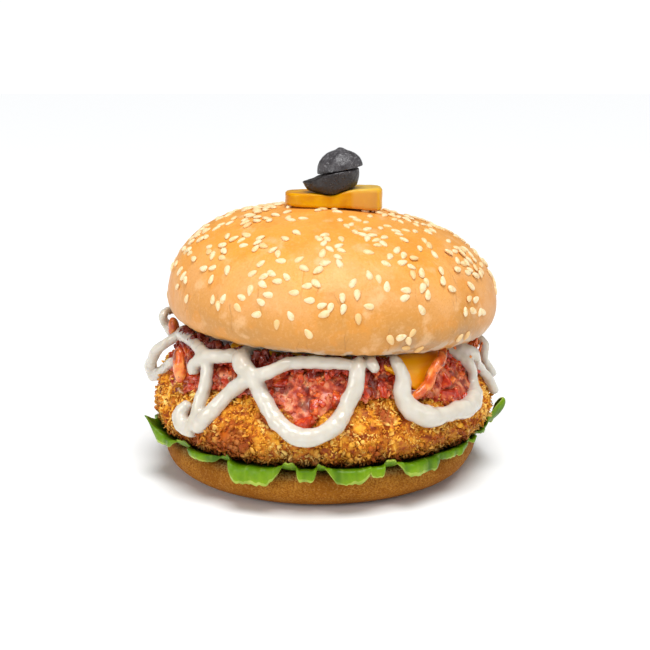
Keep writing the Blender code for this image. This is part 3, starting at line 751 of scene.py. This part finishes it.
def crumb_shape(seed, size, jitter):
    """An uneven lump with 20 faces, drawn out to the given size."""
    lump = bmesh.new()
    bmesh.ops.create_icosphere(lump, subdivisions=1, radius=0.5)
    pick = random.Random(seed)
    for vert in lump.verts:
        vert.co *= 1 + pick.uniform(-jitter, jitter)
    bmesh.ops.scale(lump, vec=size, verts=lump.verts)
    return lump


def strew_crumb(name, shapes, count, lean, sizes, seed):
    """Stands crumbs on the patty's side, most of them nearly flat on it."""
    draw = random.Random(seed)
    places = []
    for number in range(count):
        place, out = draw.choice(crumb_spots)
        place = place + drawn(draw, 0.5) * MM
        rotation = stood(draw, out, lean)
        size = (sizes[0] + (sizes[1] - sizes[0]) * draw.random() ** 3) * MM
        clump = 0.5 + 1.1 * noise.noise(place / (4 * MM))
        tone = min(1, max(0, clump + draw.uniform(-0.3, 0.3)))
        places.append((draw.randrange(len(shapes)),
                       set_down(place + out * 0.15 * size, rotation, size), tone))
    return strewn(name, shapes, places, loose_crumb)


grains = [crumb_shape(seed, (1.0, 0.75, 0.55), 0.5) for seed in range(8)]
flakes = [crumb_shape(10 + seed, (1.0, 0.65, 0.26), 0.45) for seed in range(8)]
splinters = [crumb_shape(20 + seed, (1.0, 0.24, 0.18), 0.4) for seed in range(6)]
strew_crumb("crumb_grains", grains, 9900, 1.5, (0.5, 1.3), 4)
strew_crumb("crumb_flakes", flakes, 5200, 1.3, (0.9, 3.0), 5)
strew_crumb("crumb_splinters", splinters, 9500, 1.4, (0.8, 2.6), 6)

# %% [markdown]
# ## Tomato relish
#
# The relish is chopped tomato cooked down with onion and herbs: a wet red pulp that hangs
# over the patty's edge, with diced pieces in it. The pulp is a spun heap that falls lower at
# some bearings, and the dice, bits and fried threads are set into its side.

# %% Relish materials


def wet_flesh(name, dark, mid, pale, roughness=0.16, under_crown=0.9):
    """Wet tomato, onion or pepper, with painted shade in patches for its hollows and under the
    crown.
    """
    look, tree, shader = blank_look(name, roughness, Specular_IOR_Level=0.4,
                                    **soft(0.12, 1, (1.0, 0.25, 0.1)),
                                    Coat_Weight=0.25, Coat_Roughness=0.12)
    factor = patchy(tree, 2.4, 0.3, 0.72, 4)
    flesh = ramp(tree, factor, ((0.0, dark), (0.5, mid), (1.0, pale)))
    flesh = mixed(tree, speckled(tree, 2.2, 0.12, 0.35), flesh, (0.05, 0.015, 0.01))
    # Dark patches that stand for the hollows between pieces: painted shade.
    flesh = blotched(tree, flesh, (4, 0.53, 0.62, 4, 0.75, (0.16, 0.012, 0.006)))
    # Darker towards the crown's underside: painted shade under the crown.
    shade = level(tree, 42, 45.5)
    paint(tree, shader, tinted(tree, flesh, (0.12, 0.010, 0.005), shade, under_crown))
    relief(tree, shader, grit(tree, 800.0, 4.0), 0.35, 0.8)
    return look


pulp_red = wet_flesh("pulp_red", (0.36, 0.024, 0.010), (0.66, 0.115, 0.040),
                     (0.84, 0.34, 0.16), 0.3)
tomato_red = wet_flesh("tomato_red", (0.36, 0.02, 0.006), (0.62, 0.05, 0.012),
                       (0.80, 0.17, 0.03))
# Orange pieces take only a little of the painted shade under the crown.
tomato_orange = wet_flesh("tomato_orange", (0.60, 0.08, 0.012), (0.82, 0.19, 0.03),
                          (0.90, 0.36, 0.08), under_crown=0.2)
onion_clear = wet_flesh("onion_clear", (0.50, 0.20, 0.08), (0.70, 0.42, 0.22),
                        (0.82, 0.60, 0.36))

# %% Relish heap
RELISH_RADIUS, RELISH_TOP = 50.0 * MM, 43.4 * MM


def relish_fall(bearing):
    """How far the relish hangs down the patty's side at a bearing."""
    fall = 1.5
    for centre, half_width, depth in ((-8, 16, 7), (52, 26, 6), (-62, 20, 5), (150, 34, 5),
                                      (-140, 30, 5)):
        fall += depth * bump(bearing, centre, half_width)
    return fall * MM


foot, shoulder, edge = PATTY_TOP - 4 * MM, 37 * MM, 7 * MM
profile = [(0, RELISH_TOP), (34 * MM, RELISH_TOP)]
profile += elliptic_arc((RELISH_RADIUS - edge, shoulder), (edge, RELISH_TOP - shoulder),
                        90, 0, 14)
profile += between(profile[-1], (RELISH_RADIUS, foot), 8)
profile += [(38 * MM, foot), (0, foot)]
relish = spun(profile, 300)
for vert in relish.verts:
    if vert.co.xy.length > 45 * MM:
        share = 1 - smooth_step(vert.co.z, foot, shoulder + 1 * MM)
        fall = relish_fall(bearing_of(vert.co)) * share
        vert.co.z -= fall - 3 * MM * share
        vert.co.xy *= 1 + 0.6 * fall / RELISH_RADIUS


def relish_side(point):
    return smooth_step(point.xy.length, 38 * MM, 46 * MM)


roughen(relish, relish_side, (1.4, 8, (2, 6, 3)), (1.1, 3.4, (2, 1, 3)), (0.3, 1.1, (7, 1, 3)))
relish.normal_update()
relish_spots = spots_on(relish, lambda point: point.xy.length > 46 * MM)
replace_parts(served("relish_pulp", relish, pulp_red), "tomato_relish")

# %% Diced tomato and onion


def dice_shape(seed, size):
    """A cut cube whose corners cooked soft."""
    dice = bmesh.new()
    bmesh.ops.create_cube(dice, size=1)
    pick = random.Random(seed)
    for vert in dice.verts:
        vert.co += drawn(pick, 0.16)
    bmesh.ops.bevel(dice, geom=dice.edges[:], offset=0.16, segments=2, profile=0.5,
                    affect="EDGES", material=-1)
    bmesh.ops.scale(dice, vec=size, verts=dice.verts)
    return dice


def dice_shapes(count, seed, size):
    return [dice_shape(seed + number, size) for number in range(count)]


def strew_dice(name, shapes, count, sizes, look, seed, depth=0.1, wanted=lambda place: True):
    """Sets dice into the relish's side, their middles at a share of their size inside it."""
    draw = random.Random(seed)
    places = []
    while len(places) < count:
        place, out = draw.choice(relish_spots)
        if not wanted(place):
            continue
        rotation = tumbled(draw)
        size = draw.uniform(*sizes) * MM
        places.append((draw.randrange(len(shapes)),
                       set_down(place - out * depth * size, rotation, size), draw.random()))
    return strewn(name, shapes, places, look)


strew_dice("tomato_dice", dice_shapes(5, 0, (1, 0.8, 0.6)), 220, (2.0, 4.8), tomato_red, 3, 0.2)
strew_dice("tomato_bits", dice_shapes(6, 30, (1, 0.6, 0.4)), 900, (0.8, 2.8), pulp_red, 8)
strew_dice("pepper_dice", dice_shapes(4, 10, (1, 0.6, 0.35)), 110, (1.4, 3.6), tomato_orange, 4)
strew_dice("onion_bits", dice_shapes(4, 40, (1, 0.5, 0.25)), 110, (0.9, 2.6), onion_clear, 9)
strew_dice("rim_dice", dice_shapes(4, 50, (1, 0.7, 0.5)), 160, (1.6, 3.6), tomato_red, 12, 0.0,
           lambda place: place.z > 40 * MM)
strew_dice("fried_threads", dice_shapes(4, 60, (1, 0.14, 0.10)), 70, (3.0, 6.0), tomato_orange,
           14, -0.2, lambda place: place.z > 38 * MM and 60 < bearing_of(place) < 86)

# %% Chunks under the crown's rim
CHUNK_COUNT = 280
draw = random.Random(31)
chunks = dice_shapes(5, 70, (1, 0.75, 0.5))
places = []
for number in range(CHUNK_COUNT):
    bearing = draw.uniform(-78, 24)
    spot = around(bearing, draw.uniform(46.6, 48.6) * MM, 43 * MM)
    spot.z += draw.random() * (3.4 * MM - 0.05 * spot.x)
    rotation = tumbled(draw)
    places.append((draw.randrange(len(chunks)),
                   set_down(spot, rotation, draw.uniform(2.0, 3.6) * MM), draw.random()))
strewn("rim_chunks", chunks, places, tomato_red)

# %% Tomato wedges on the left
for name, place, size, lean in (
        ("tomato_wedge", around(-57, 54.2 * MM, 39.8 * MM), (5.6, 3.6, 11), -8),
        ("tomato_end", around(-84, 50.8 * MM, 46.4 * MM), (5, 4, 8), 14)):
    wedge = bmesh.new()
    bmesh.ops.create_icosphere(wedge, subdivisions=4, radius=0.5)
    bmesh.ops.scale(wedge, vec=Vector(size) * MM, verts=wedge.verts)
    turn = Euler((0, math.radians(lean), math.radians(bearing_of(place)))).to_matrix().to_4x4()
    moved(wedge, Matrix.Translation(place) @ turn)
    roughen(wedge, everywhere, (0.5, 4, (3, 3, 9)))
    served(name, wedge, tomato_orange)

# %% [markdown]
# ## Cheese
#
# A thin square slice of orange cheese lies under the crown, off centre, so one corner bends
# down over the relish at the front right. It is a fine grid, bent where it passes the edge
# of what carries it.

# %% Cheese slice
cheddar, tree, shader = blank_look("cheddar", 0.3, **soft(0.3, 2, (1.0, 0.5, 0.1)),
                                   Coat_Weight=0.2)
paint(tree, shader, mixed(tree, patchy(tree, 6, 0.3, 0.7), (1.0, 0.36, 0.0),
                          (1.0, 0.46, 0.0)))
relief(tree, shader, grit(tree, 300.0, 2.0), 0.3, 0.5)

fold_start, fold_radius, droop = 44 * MM, 6 * MM, math.radians(75)
cheese = bmesh.new()
bmesh.ops.create_grid(cheese, x_segments=70, y_segments=70, size=32 * MM)
moved(cheese, Matrix.Translation(around(32, 13.5 * MM, 0))
      @ Matrix.Rotation(math.radians(-13), 4, "Z"))
for vert in cheese.verts:
    radius = vert.co.xy.length
    over = radius - fold_start
    wave = 0.5 * MM * noise.noise(vert.co / (9 * MM)) * smooth_step(radius, 30 * MM, 50 * MM)
    if over > 0:
        angle = min(over / fold_radius, droop)
        rest = max(0, over - droop * fold_radius)
        out = fold_start + fold_radius * math.sin(angle) + rest * math.cos(droop)
        down = fold_radius * (1 - math.cos(angle)) + rest * math.sin(droop)
        vert.co = Vector((*(vert.co.xy * out / radius), -down))
    vert.co.z += wave - 1.9 * MM
moved(cheese, CROWN_FRAME)
cheese_piece = served("cheese_sheet", cheese, cheddar)
thickened(cheese_piece, 2.2 * MM, -1)
edge = cheese_piece.modifiers.new("edge", "BEVEL")
edge.width, edge.segments = 0.5 * MM, 2
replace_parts(cheese_piece, "cheese_slice")

# %% [markdown]
# ## Mayonnaise
#
# The sauce is squeezed on in a thin stream that loops down the side, and where two streams
# cross they run together. Each stream is a tube with its own width at each point. A voxel
# remesh joins them all into one skin, and smoothing rounds the corners where they meet.

# %% Sauce routes
# A point on a route: bearing, height in mm (None is under the crown), width, and sometimes
# a distance off the side
STRANDS = {
    "loop": ((-33, None, 5.4), (-30, 45, 5.6), (-24, 41, 5.0), (-21, 36, 5.0), (-15, 30, 5.2),
        (-9, 26.5, 5.4), (-3, 26, 5.0), (3, 29, 5.4), (7, 34, 5.2), (10, 40, 4.6),
        (11, 45, 4.6), (11, None, 4.6)),
    "bridge": ((-24, 41.5, 4.2), (-19, 43, 4.0), (-13, 45.5, 3.8), (-3, 46, 3.8),
        (10, 45.5, 3.8)),
    "slant": ((-43, 23.5, 5.2), (-38, 29, 4.8), (-33, 35.5, 4.4), (-25, 41.5, 4.8)),
    "fork": ((-51, 38, 3.8), (-51, 41, 4.0), (-45, 44.5, 4.2), (-33, 46, 4.4)),
    "fall": ((-45, 44.5, 4.0), (-44, 38, 4.0), (-44, 31, 4.4), (-43, 23.5, 5.4)),
    "hook": ((-49, 30, 3.2), (-51, 26, 4.8), (-48, 23, 5.2), (-43, 23.5, 5.4)),
    "shoulder": ((-86, None, 3.6), (-76, 46.5, 4.0), (-66, 46.5, 4.2), (-54, 46, 4.0),
        (-45, 44.5, 4.0)),
    "ear": ((-110, None, 2.8), (-103, 49, 2.8, 3), (-95, 50.5, 2.8, 6), (-88, 50, 2.8, 7.5),
        (-90, 46, 2.8, 4.5), (-86, 44, 2.8)),
    "left_loop": ((-76, 46, 3.2), (-79, 41, 3.4, 3.5), (-84, 36, 3.8, 6), (-90, 31, 3.8, 5),
        (-90, 28.5, 3.8, 2), (-82, 33, 3.8, 0.5), (-72, 38, 3.4)),
    "drip": ((16, None, 3.4), (16, 45.5, 3.4), (17, 43.5, 2.6)),
    "pocket": ((24, None, 4.0), (25, 45, 3.6), (26.5, 40, 4.8), (26, 35.3, 5.6),
        (28.5, 31, 6.6), (33, 29, 6.4), (39, 28.3, 4.6), (45, 28.6, 5.4), (51, 28.2, 6.4),
        (58, 30, 5.6), (63, 34, 3.4), (61, 39.5, 3.4), (57, None, 4.0)),
    "right_strand": ((60, None, 3.6), (63, 43, 3.6), (72, 37, 3.2), (79, 30, 3.2),
        (80, 25.5, 3.2)),
    "far_strand": ((90, None, 3.0), (84, 42, 2.8, 1), (85, 36, 3.0, 1.5), (89, 29, 3.0, 1.5)),
}
SPREAD_RADIUS, SPREAD_THICKNESS = 46.5 * MM, 1.3 * MM


def side_radius(height):
    """How far the filled middle of the burger stands out from the axis at a height."""
    return (57 * MM - 6 * MM * smooth_step(height, 24 * MM, 37 * MM)
            - 5 * MM * smooth_step(height, 43 * MM, 48 * MM))


def through(points, per_span):
    """Points on a smooth line through the given ones (Catmull-Rom)."""
    ends = [points[0] * 2 - points[1]] + list(points) + [points[-1] * 2 - points[-2]]
    line = []
    for before, start, end, after in zip(ends, ends[1:], ends[2:], ends[3:]):
        for step in range(per_span):
            t = step / per_span
            line.append(0.5 * ((2 * start) + (end - before) * t
                               + (2 * before - 5 * start + 4 * end - after) * t ** 2
                               + (3 * start - before - 3 * end + after) * t ** 3))
    return line + [points[-1]]


def strand_point(bearing, height, width, off=0):
    if height is None:
        return CROWN_FRAME @ around(bearing, SPREAD_RADIUS - 4 * MM, -(0.4 + width / 2) * MM)
    return around(bearing, side_radius(height * MM) + (1.0 + off) * MM, height * MM)


# %% Sauce streams, joined into one skin


def evaluated(made):
    """An object as its curve settings and modifiers leave it."""
    bpy.context.view_layer.update()
    return made.evaluated_get(bpy.context.evaluated_depsgraph_get())


def stream(route):
    """A tube of sauce along a route, closed by a round end."""
    curve = bpy.data.curves.new("stream", "CURVE")
    curve.dimensions = "3D"
    curve.bevel_depth = 1 * MM
    curve.bevel_resolution = 4
    curve.use_fill_caps = True
    spline = curve.splines.new("POLY")
    line = through([strand_point(*stop) for stop in route], 8)
    widths = through([Vector((stop[2], 0)) for stop in route], 8)
    spline.points.add(len(line) - 1)
    for number, (point, place, width) in enumerate(zip(spline.points, line, widths)):
        from_end = min(number, len(line) - 1 - number)
        swell = 1 + 0.15 * noise.noise(place / (6 * MM))
        point.co = (*place, 1)
        point.radius = swell * width.x / 2 * (0.75, 0.92, 1)[min(from_end, 2)] + 0.1
    tube = in_scene("stream", curve)
    mesh = bpy.data.meshes.new_from_object(evaluated(tube))
    bpy.data.objects.remove(tube, do_unlink=True)
    return mesh


VOXEL, SMOOTHINGS = 0.38 * MM, 7
sauce = bmesh.new()
for route in STRANDS.values():
    sauce.from_mesh(stream(route))
bmesh.ops.remove_doubles(sauce, verts=sauce.verts, dist=0.01 * MM)
streams = in_scene("streams", mesh_of(sauce, "streams"))
skin = streams.modifiers.new("skin", "REMESH")
skin.mode, skin.voxel_size = "VOXEL", VOXEL
sauce = bmesh.new()
sauce.from_mesh(evaluated(streams).to_mesh())
bpy.data.objects.remove(streams, do_unlink=True)
for step in range(SMOOTHINGS):
    bmesh.ops.smooth_vert(sauce, verts=sauce.verts, factor=0.5, use_axis_x=True,
                          use_axis_y=True, use_axis_z=True)
roughen(sauce, everywhere, (0.35, 3.5, (1, 1, 6)))

# %% Sauce material
sauce_ivory, tree, shader = blank_look("sauce_ivory", 0.24, **soft(0.35, 2, (1.0, 0.7, 0.4)),
                                       Coat_Weight=0.35, Coat_Roughness=0.12)
cream = mixed(tree, patchy(tree, 5, 0.35, 0.7), (0.66, 0.62, 0.54), (0.61, 0.56, 0.465))
paint(tree, shader, mixed(tree, speckled(tree, 5, 0.035, 0.4), cream, (0.20, 0.13, 0.05)))
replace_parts(served("mayonnaise_streams", sauce, sauce_ivory), "mayonnaise")

rim = SPREAD_THICKNESS / 2
arc = elliptic_arc((SPREAD_RADIUS, 0), (rim, rim), 90, -90, 8)
layer = spun([(0, rim)] + arc + [(0, -rim)], 160)
for vert in layer.verts:
    vert.co.xy *= 1 - 0.05 * (1 + noise.noise(vert.co.normalized() * 4))
moved(layer, CROWN_FRAME @ Matrix.Translation((0, 0, -0.95 * MM)))
served("mayonnaise_spread", layer, sauce_ivory)

# %% Strip of red pepper beside the cheese
strip = bmesh.new()
strip.from_mesh(stream(((48, 46.5, 2.2, 0.4), (43, 44.5, 3.0, 1.0), (38, 42.3, 3.2, 1.4),
                        (35, 37.8, 3.2, 1.4), (29, 34.4, 2.2, 1.0))))
roughen(strip, everywhere, (0.35, 2.5, (5, 1, 6)))
served("pepper_strip", strip, tomato_orange)

# %% [markdown]
# ## Yellow pepper slice and black olive
#
# A thick crosswise slice of pickled pepper lies on top, and a pitted black olive cut in two
# stands on it. The pepper is a spun disc, squared off and dipped where its ribs meet. The
# olive's upper part is a ball cut by a plane, and it leans. Its lower part is a spun bowl
# whose left lip flares outwards.

# %% Pepper slice
pepper_yellow, tree, shader = blank_look("pepper_yellow", 0.3, Specular_IOR_Level=0.12,
                                         **soft(0.2, 1, (1.0, 0.6, 0.1)),
                                         Coat_Weight=0.06, Coat_Roughness=0.15)
flesh = mixed(tree, patchy(tree, 5, 0.3, 0.7), (0.62, 0.23, 0.0), (0.74, 0.36, 0.0))
# Paler where the cut turns to the camera, yellow at the skin, and pale on top
for low, high, axis, colour in ((8, 9.5, "X", (0.68, 0.32, 0.05)),
                                (16.4, 17.2, "X", (0.80, 0.40, 0.005)),
                                (91.6, 93.2, "Z", (0.78, 0.48, 0.06))):
    flesh = mixed(tree, level(tree, low, high, axis), flesh, colour)
paint(tree, shader, flesh)


def pepper_level(across, top):
    """How high the slice's upper or lower face is at a place across it, all in mm."""
    if top:
        return 91.5 - 0.6 * bump(across, 1.6, 4) + 1.5 * smooth_step(across, 3, 11)
    return 87.1 + 0.5 * (1 - smooth_step(across, -13, 0)) - 1.2 * smooth_step(across, 6, 18)


PEPPER_RADII = (16.0 * MM, 9.6 * MM)
PEPPER_CENTRE = Vector((2.8, -1.4, 0)) * MM
SQUARENESS = 3.4
shares = [step / 10 for step in range(11)]
# A disc 1 in radius and in height, which the lines below stretch to the pepper's size
profile = [(share, 1) for share in shares[:-1]] + [(1, 1 - share) for share in shares]
profile += [(share, 0) for share in shares[-2::-1]]
pepper = spun(profile, 200)
for vert in pepper.verts:
    radius, height = vert.co.xy.length, vert.co.z
    if radius > 0.001:
        side, front = vert.co.x / radius, vert.co.y / radius
        bearing = bearing_of(vert.co)
        squared = (abs(side) ** SQUARENESS + abs(front) ** SQUARENESS) ** (-1 / SQUARENESS)
        dip = 1 - 0.06 * bump(bearing, 20, 14) - 0.10 * bump(bearing, 170, 40)
        round_off = 1 - 0.03 * (max(0, abs(2 * height - 1) - 0.85) / 0.15) ** 2
        wide = radius * squared * round_off * (1 - 0.015 * height)
        vert.co = PEPPER_CENTRE + Vector((side * wide * PEPPER_RADII[0],
                                          front * wide * dip * PEPPER_RADII[1], 0))
    else:
        vert.co = PEPPER_CENTRE.copy()
    low, high = (pepper_level(vert.co.x / MM, top) for top in (False, True))
    vert.co.z = (low + (high - low) * height) * MM
roughen(pepper, everywhere, (0.25, 6, (2, 2, 5)), (0.08, 1.6, (2, 5, 5)))
bmesh.ops.recalc_face_normals(pepper, faces=pepper.faces)
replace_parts(served("pepper_ring", pepper, pepper_yellow), "pepper_slice")

# %% Olive skin
olive_black, tree, shader = blank_look("olive_black", 0.38, Specular_IOR_Level=0.5)
dusk = mixed(tree, patchy(tree, 3, 0.3, 0.7), (0.032, 0.028, 0.031),
             (0.080, 0.075, 0.081))
web = node(tree, "TexNoise", {"Vector": own_place(tree), "Scale": 200.0})
bent = mixed(tree, 0.985, web.outputs["Color"], own_place(tree))
lower = below(tree, 97.5, 99)
crack = times(tree, crack_lines(tree, bent, 480.0, 0.06),
              times(tree, lower, patchy(tree, 3, 0.45, 0.6)))
scratch = math_node(tree, "SUBTRACT", patchy(tree, 0.8, 0.54, 0.66, 6), lower, clamp=True)
for mask, amount, colour in ((lower, 0.85, (0.012, 0.007, 0.005)),
                             (crack, 0.4, (0.12, 0.10, 0.09)),
                             (scratch, 0.5, (0.36, 0.35, 0.36))):
    dusk = tinted(tree, dusk, colour, mask, amount)
paint(tree, shader, blotched(tree, dusk, (1.6, 0.52, 0.62, 5, 0.5, (0.018, 0.015, 0.018))))
wrinkle = grit(tree, 520.0, 4.0, Distortion=0.6)
relief(tree, shader, math_node(tree, "ADD", wrinkle, times(tree, crack, 0.7)), 0.5, 0.9)

# %% Olive
BOWL_HEIGHT = 6.4
profile = [(8.4 * step / 8, BOWL_HEIGHT) for step in range(8)]
profile += [(8.4, BOWL_HEIGHT), (8.55, 6.1), (8.62, 5.5), (8.6, 4.8), (8.55, 4.1), (8.5, 3.4),
            (8.4, 2.6), (8.25, 1.8), (8.05, 1.1), (7.8, 0.6), (7.5, 0.25), (7.0, 0)]
profile += [(7.0 * step / 6, 0) for step in range(5, -1, -1)]
lower_olive = spun([(radius * MM, height * MM) for radius, height in profile], 90)
for vert in lower_olive.verts:
    share, across = vert.co.z / (BOWL_HEIGHT * MM), vert.co.x / MM
    lip = smooth_step(-across, 5.5, 8.4) * bump(bearing_of(vert.co), -90, 45)
    across += 2.5 - 1.3 * lip * share
    floor_level = pepper_level(across, True) + 0.4
    cut = 98.0 + 0.17 * (across - 2.5) - 1.3 * smooth_step(2.5 - across, 1, 8)
    vert.co = Vector((across, vert.co.y / MM - 3.6,
                      floor_level + (cut - floor_level) * share)) * MM
roughen(lower_olive, everywhere, (0.18, 4, (8, 3, 5)), (0.1, 1.3, (8, 9, 5)))
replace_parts(served("olive_lower", lower_olive, olive_black), "olive_base")

OLIVE_RADIUS = 7.5 * MM
upper_olive = bmesh.new()
bmesh.ops.create_uvsphere(upper_olive, u_segments=90, v_segments=60, radius=OLIVE_RADIUS)
roughen(upper_olive, everywhere, (0.2, 5, (8, 3, 5)), (0.1, 1.5, (8, 9, 5)))
halves = bmesh.ops.bisect_plane(
    upper_olive, geom=upper_olive.verts[:] + upper_olive.edges[:] + upper_olive.faces[:],
    plane_co=(0, 0, 0), plane_no=(0, 0, -1), clear_outer=True)
cut = [item for item in halves["geom_cut"] if isinstance(item, bmesh.types.BMEdge)]
bmesh.ops.holes_fill(upper_olive, edges=cut)
for vert in upper_olive.verts:
    vert.co.z *= 0.86
    if vert.co.z > 1 * MM:
        away = (vert.co.xy - Vector((1.5 * MM, 0))).length
        vert.co.z += 0.6 * MM * (1 - smooth_step(away, 0.4 * MM, 2.2 * MM))
tilt = Matrix.Rotation(math.radians(-11), 4, "Y")
moved(upper_olive, Matrix.Translation(Vector((4.9, -3.6, 98.85)) * MM) @ tilt)
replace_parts(served("olive_upper", upper_olive, olive_black), "olive_cap")

# %% [markdown]
# ## Floor and light
#
# The floor is plain white. A broad sun overhead lights the crown and leaves a soft shadow. A
# lamp in front puts the shine on the sauce, and one at each side, the left the stronger,
# reaches in under the crown. The sky is a plain pale light, brighter where it is seen.

# %% Floor
paper, tree, shader = blank_look("paper", 0.9)
shader.inputs["Base Color"].default_value = (0.975, 0.985, 0.995, 1)
floor_shape = bmesh.new()
bmesh.ops.create_grid(floor_shape, x_segments=1, y_segments=1, size=60)
floor = in_scene("floor", mesh_of(floor_shape, "floor"))
floor.data.materials.append(paper)

# %% Lamps and sky


MIDDLE = Vector((0, 0, 0.05))
for name, place, size, power in (("key", (0.16, -0.55, 0.95), 0.55, 1.1),
                                 ("left", (-0.85, -0.75, 0.45), 0.5, 4.2),
                                 ("right", (0.85, -0.70, 0.50), 0.5, 1.6)):
    lamp = bpy.data.lights.new(name, "AREA")
    lamp.shape, lamp.size, lamp.energy = "DISK", size, power
    box = in_scene(name, lamp)
    box.location = place
    box.rotation_euler = (MIDDLE - Vector(place)).to_track_quat("-Z", "Y").to_euler()

sun = bpy.data.lights.new("window", "SUN")
sun.energy, sun.angle = 2.7, math.radians(36)
in_scene("window", sun).rotation_euler = (math.radians(14), math.radians(5), 0)

sky = bpy.data.worlds.new("sky")
bpy.context.scene.world = sky
sky.use_nodes = True
tree = sky.node_tree
seen = tree.nodes["Background"]
seen.inputs["Color"].default_value = (1, 1, 1, 1)
seen.inputs["Strength"].default_value = 1.05
felt = node(tree, "Background", {"Color": (1, 1, 1, 1), "Strength": 0.23})
which = node(tree, "MixShader", {0: node(tree, "LightPath").outputs[0]})
tree.links.new(felt.outputs[0], which.inputs[1])
tree.links.new(seen.outputs[0], which.inputs[2])
tree.links.new(which.outputs[0], tree.nodes["World Output"].inputs["Surface"])
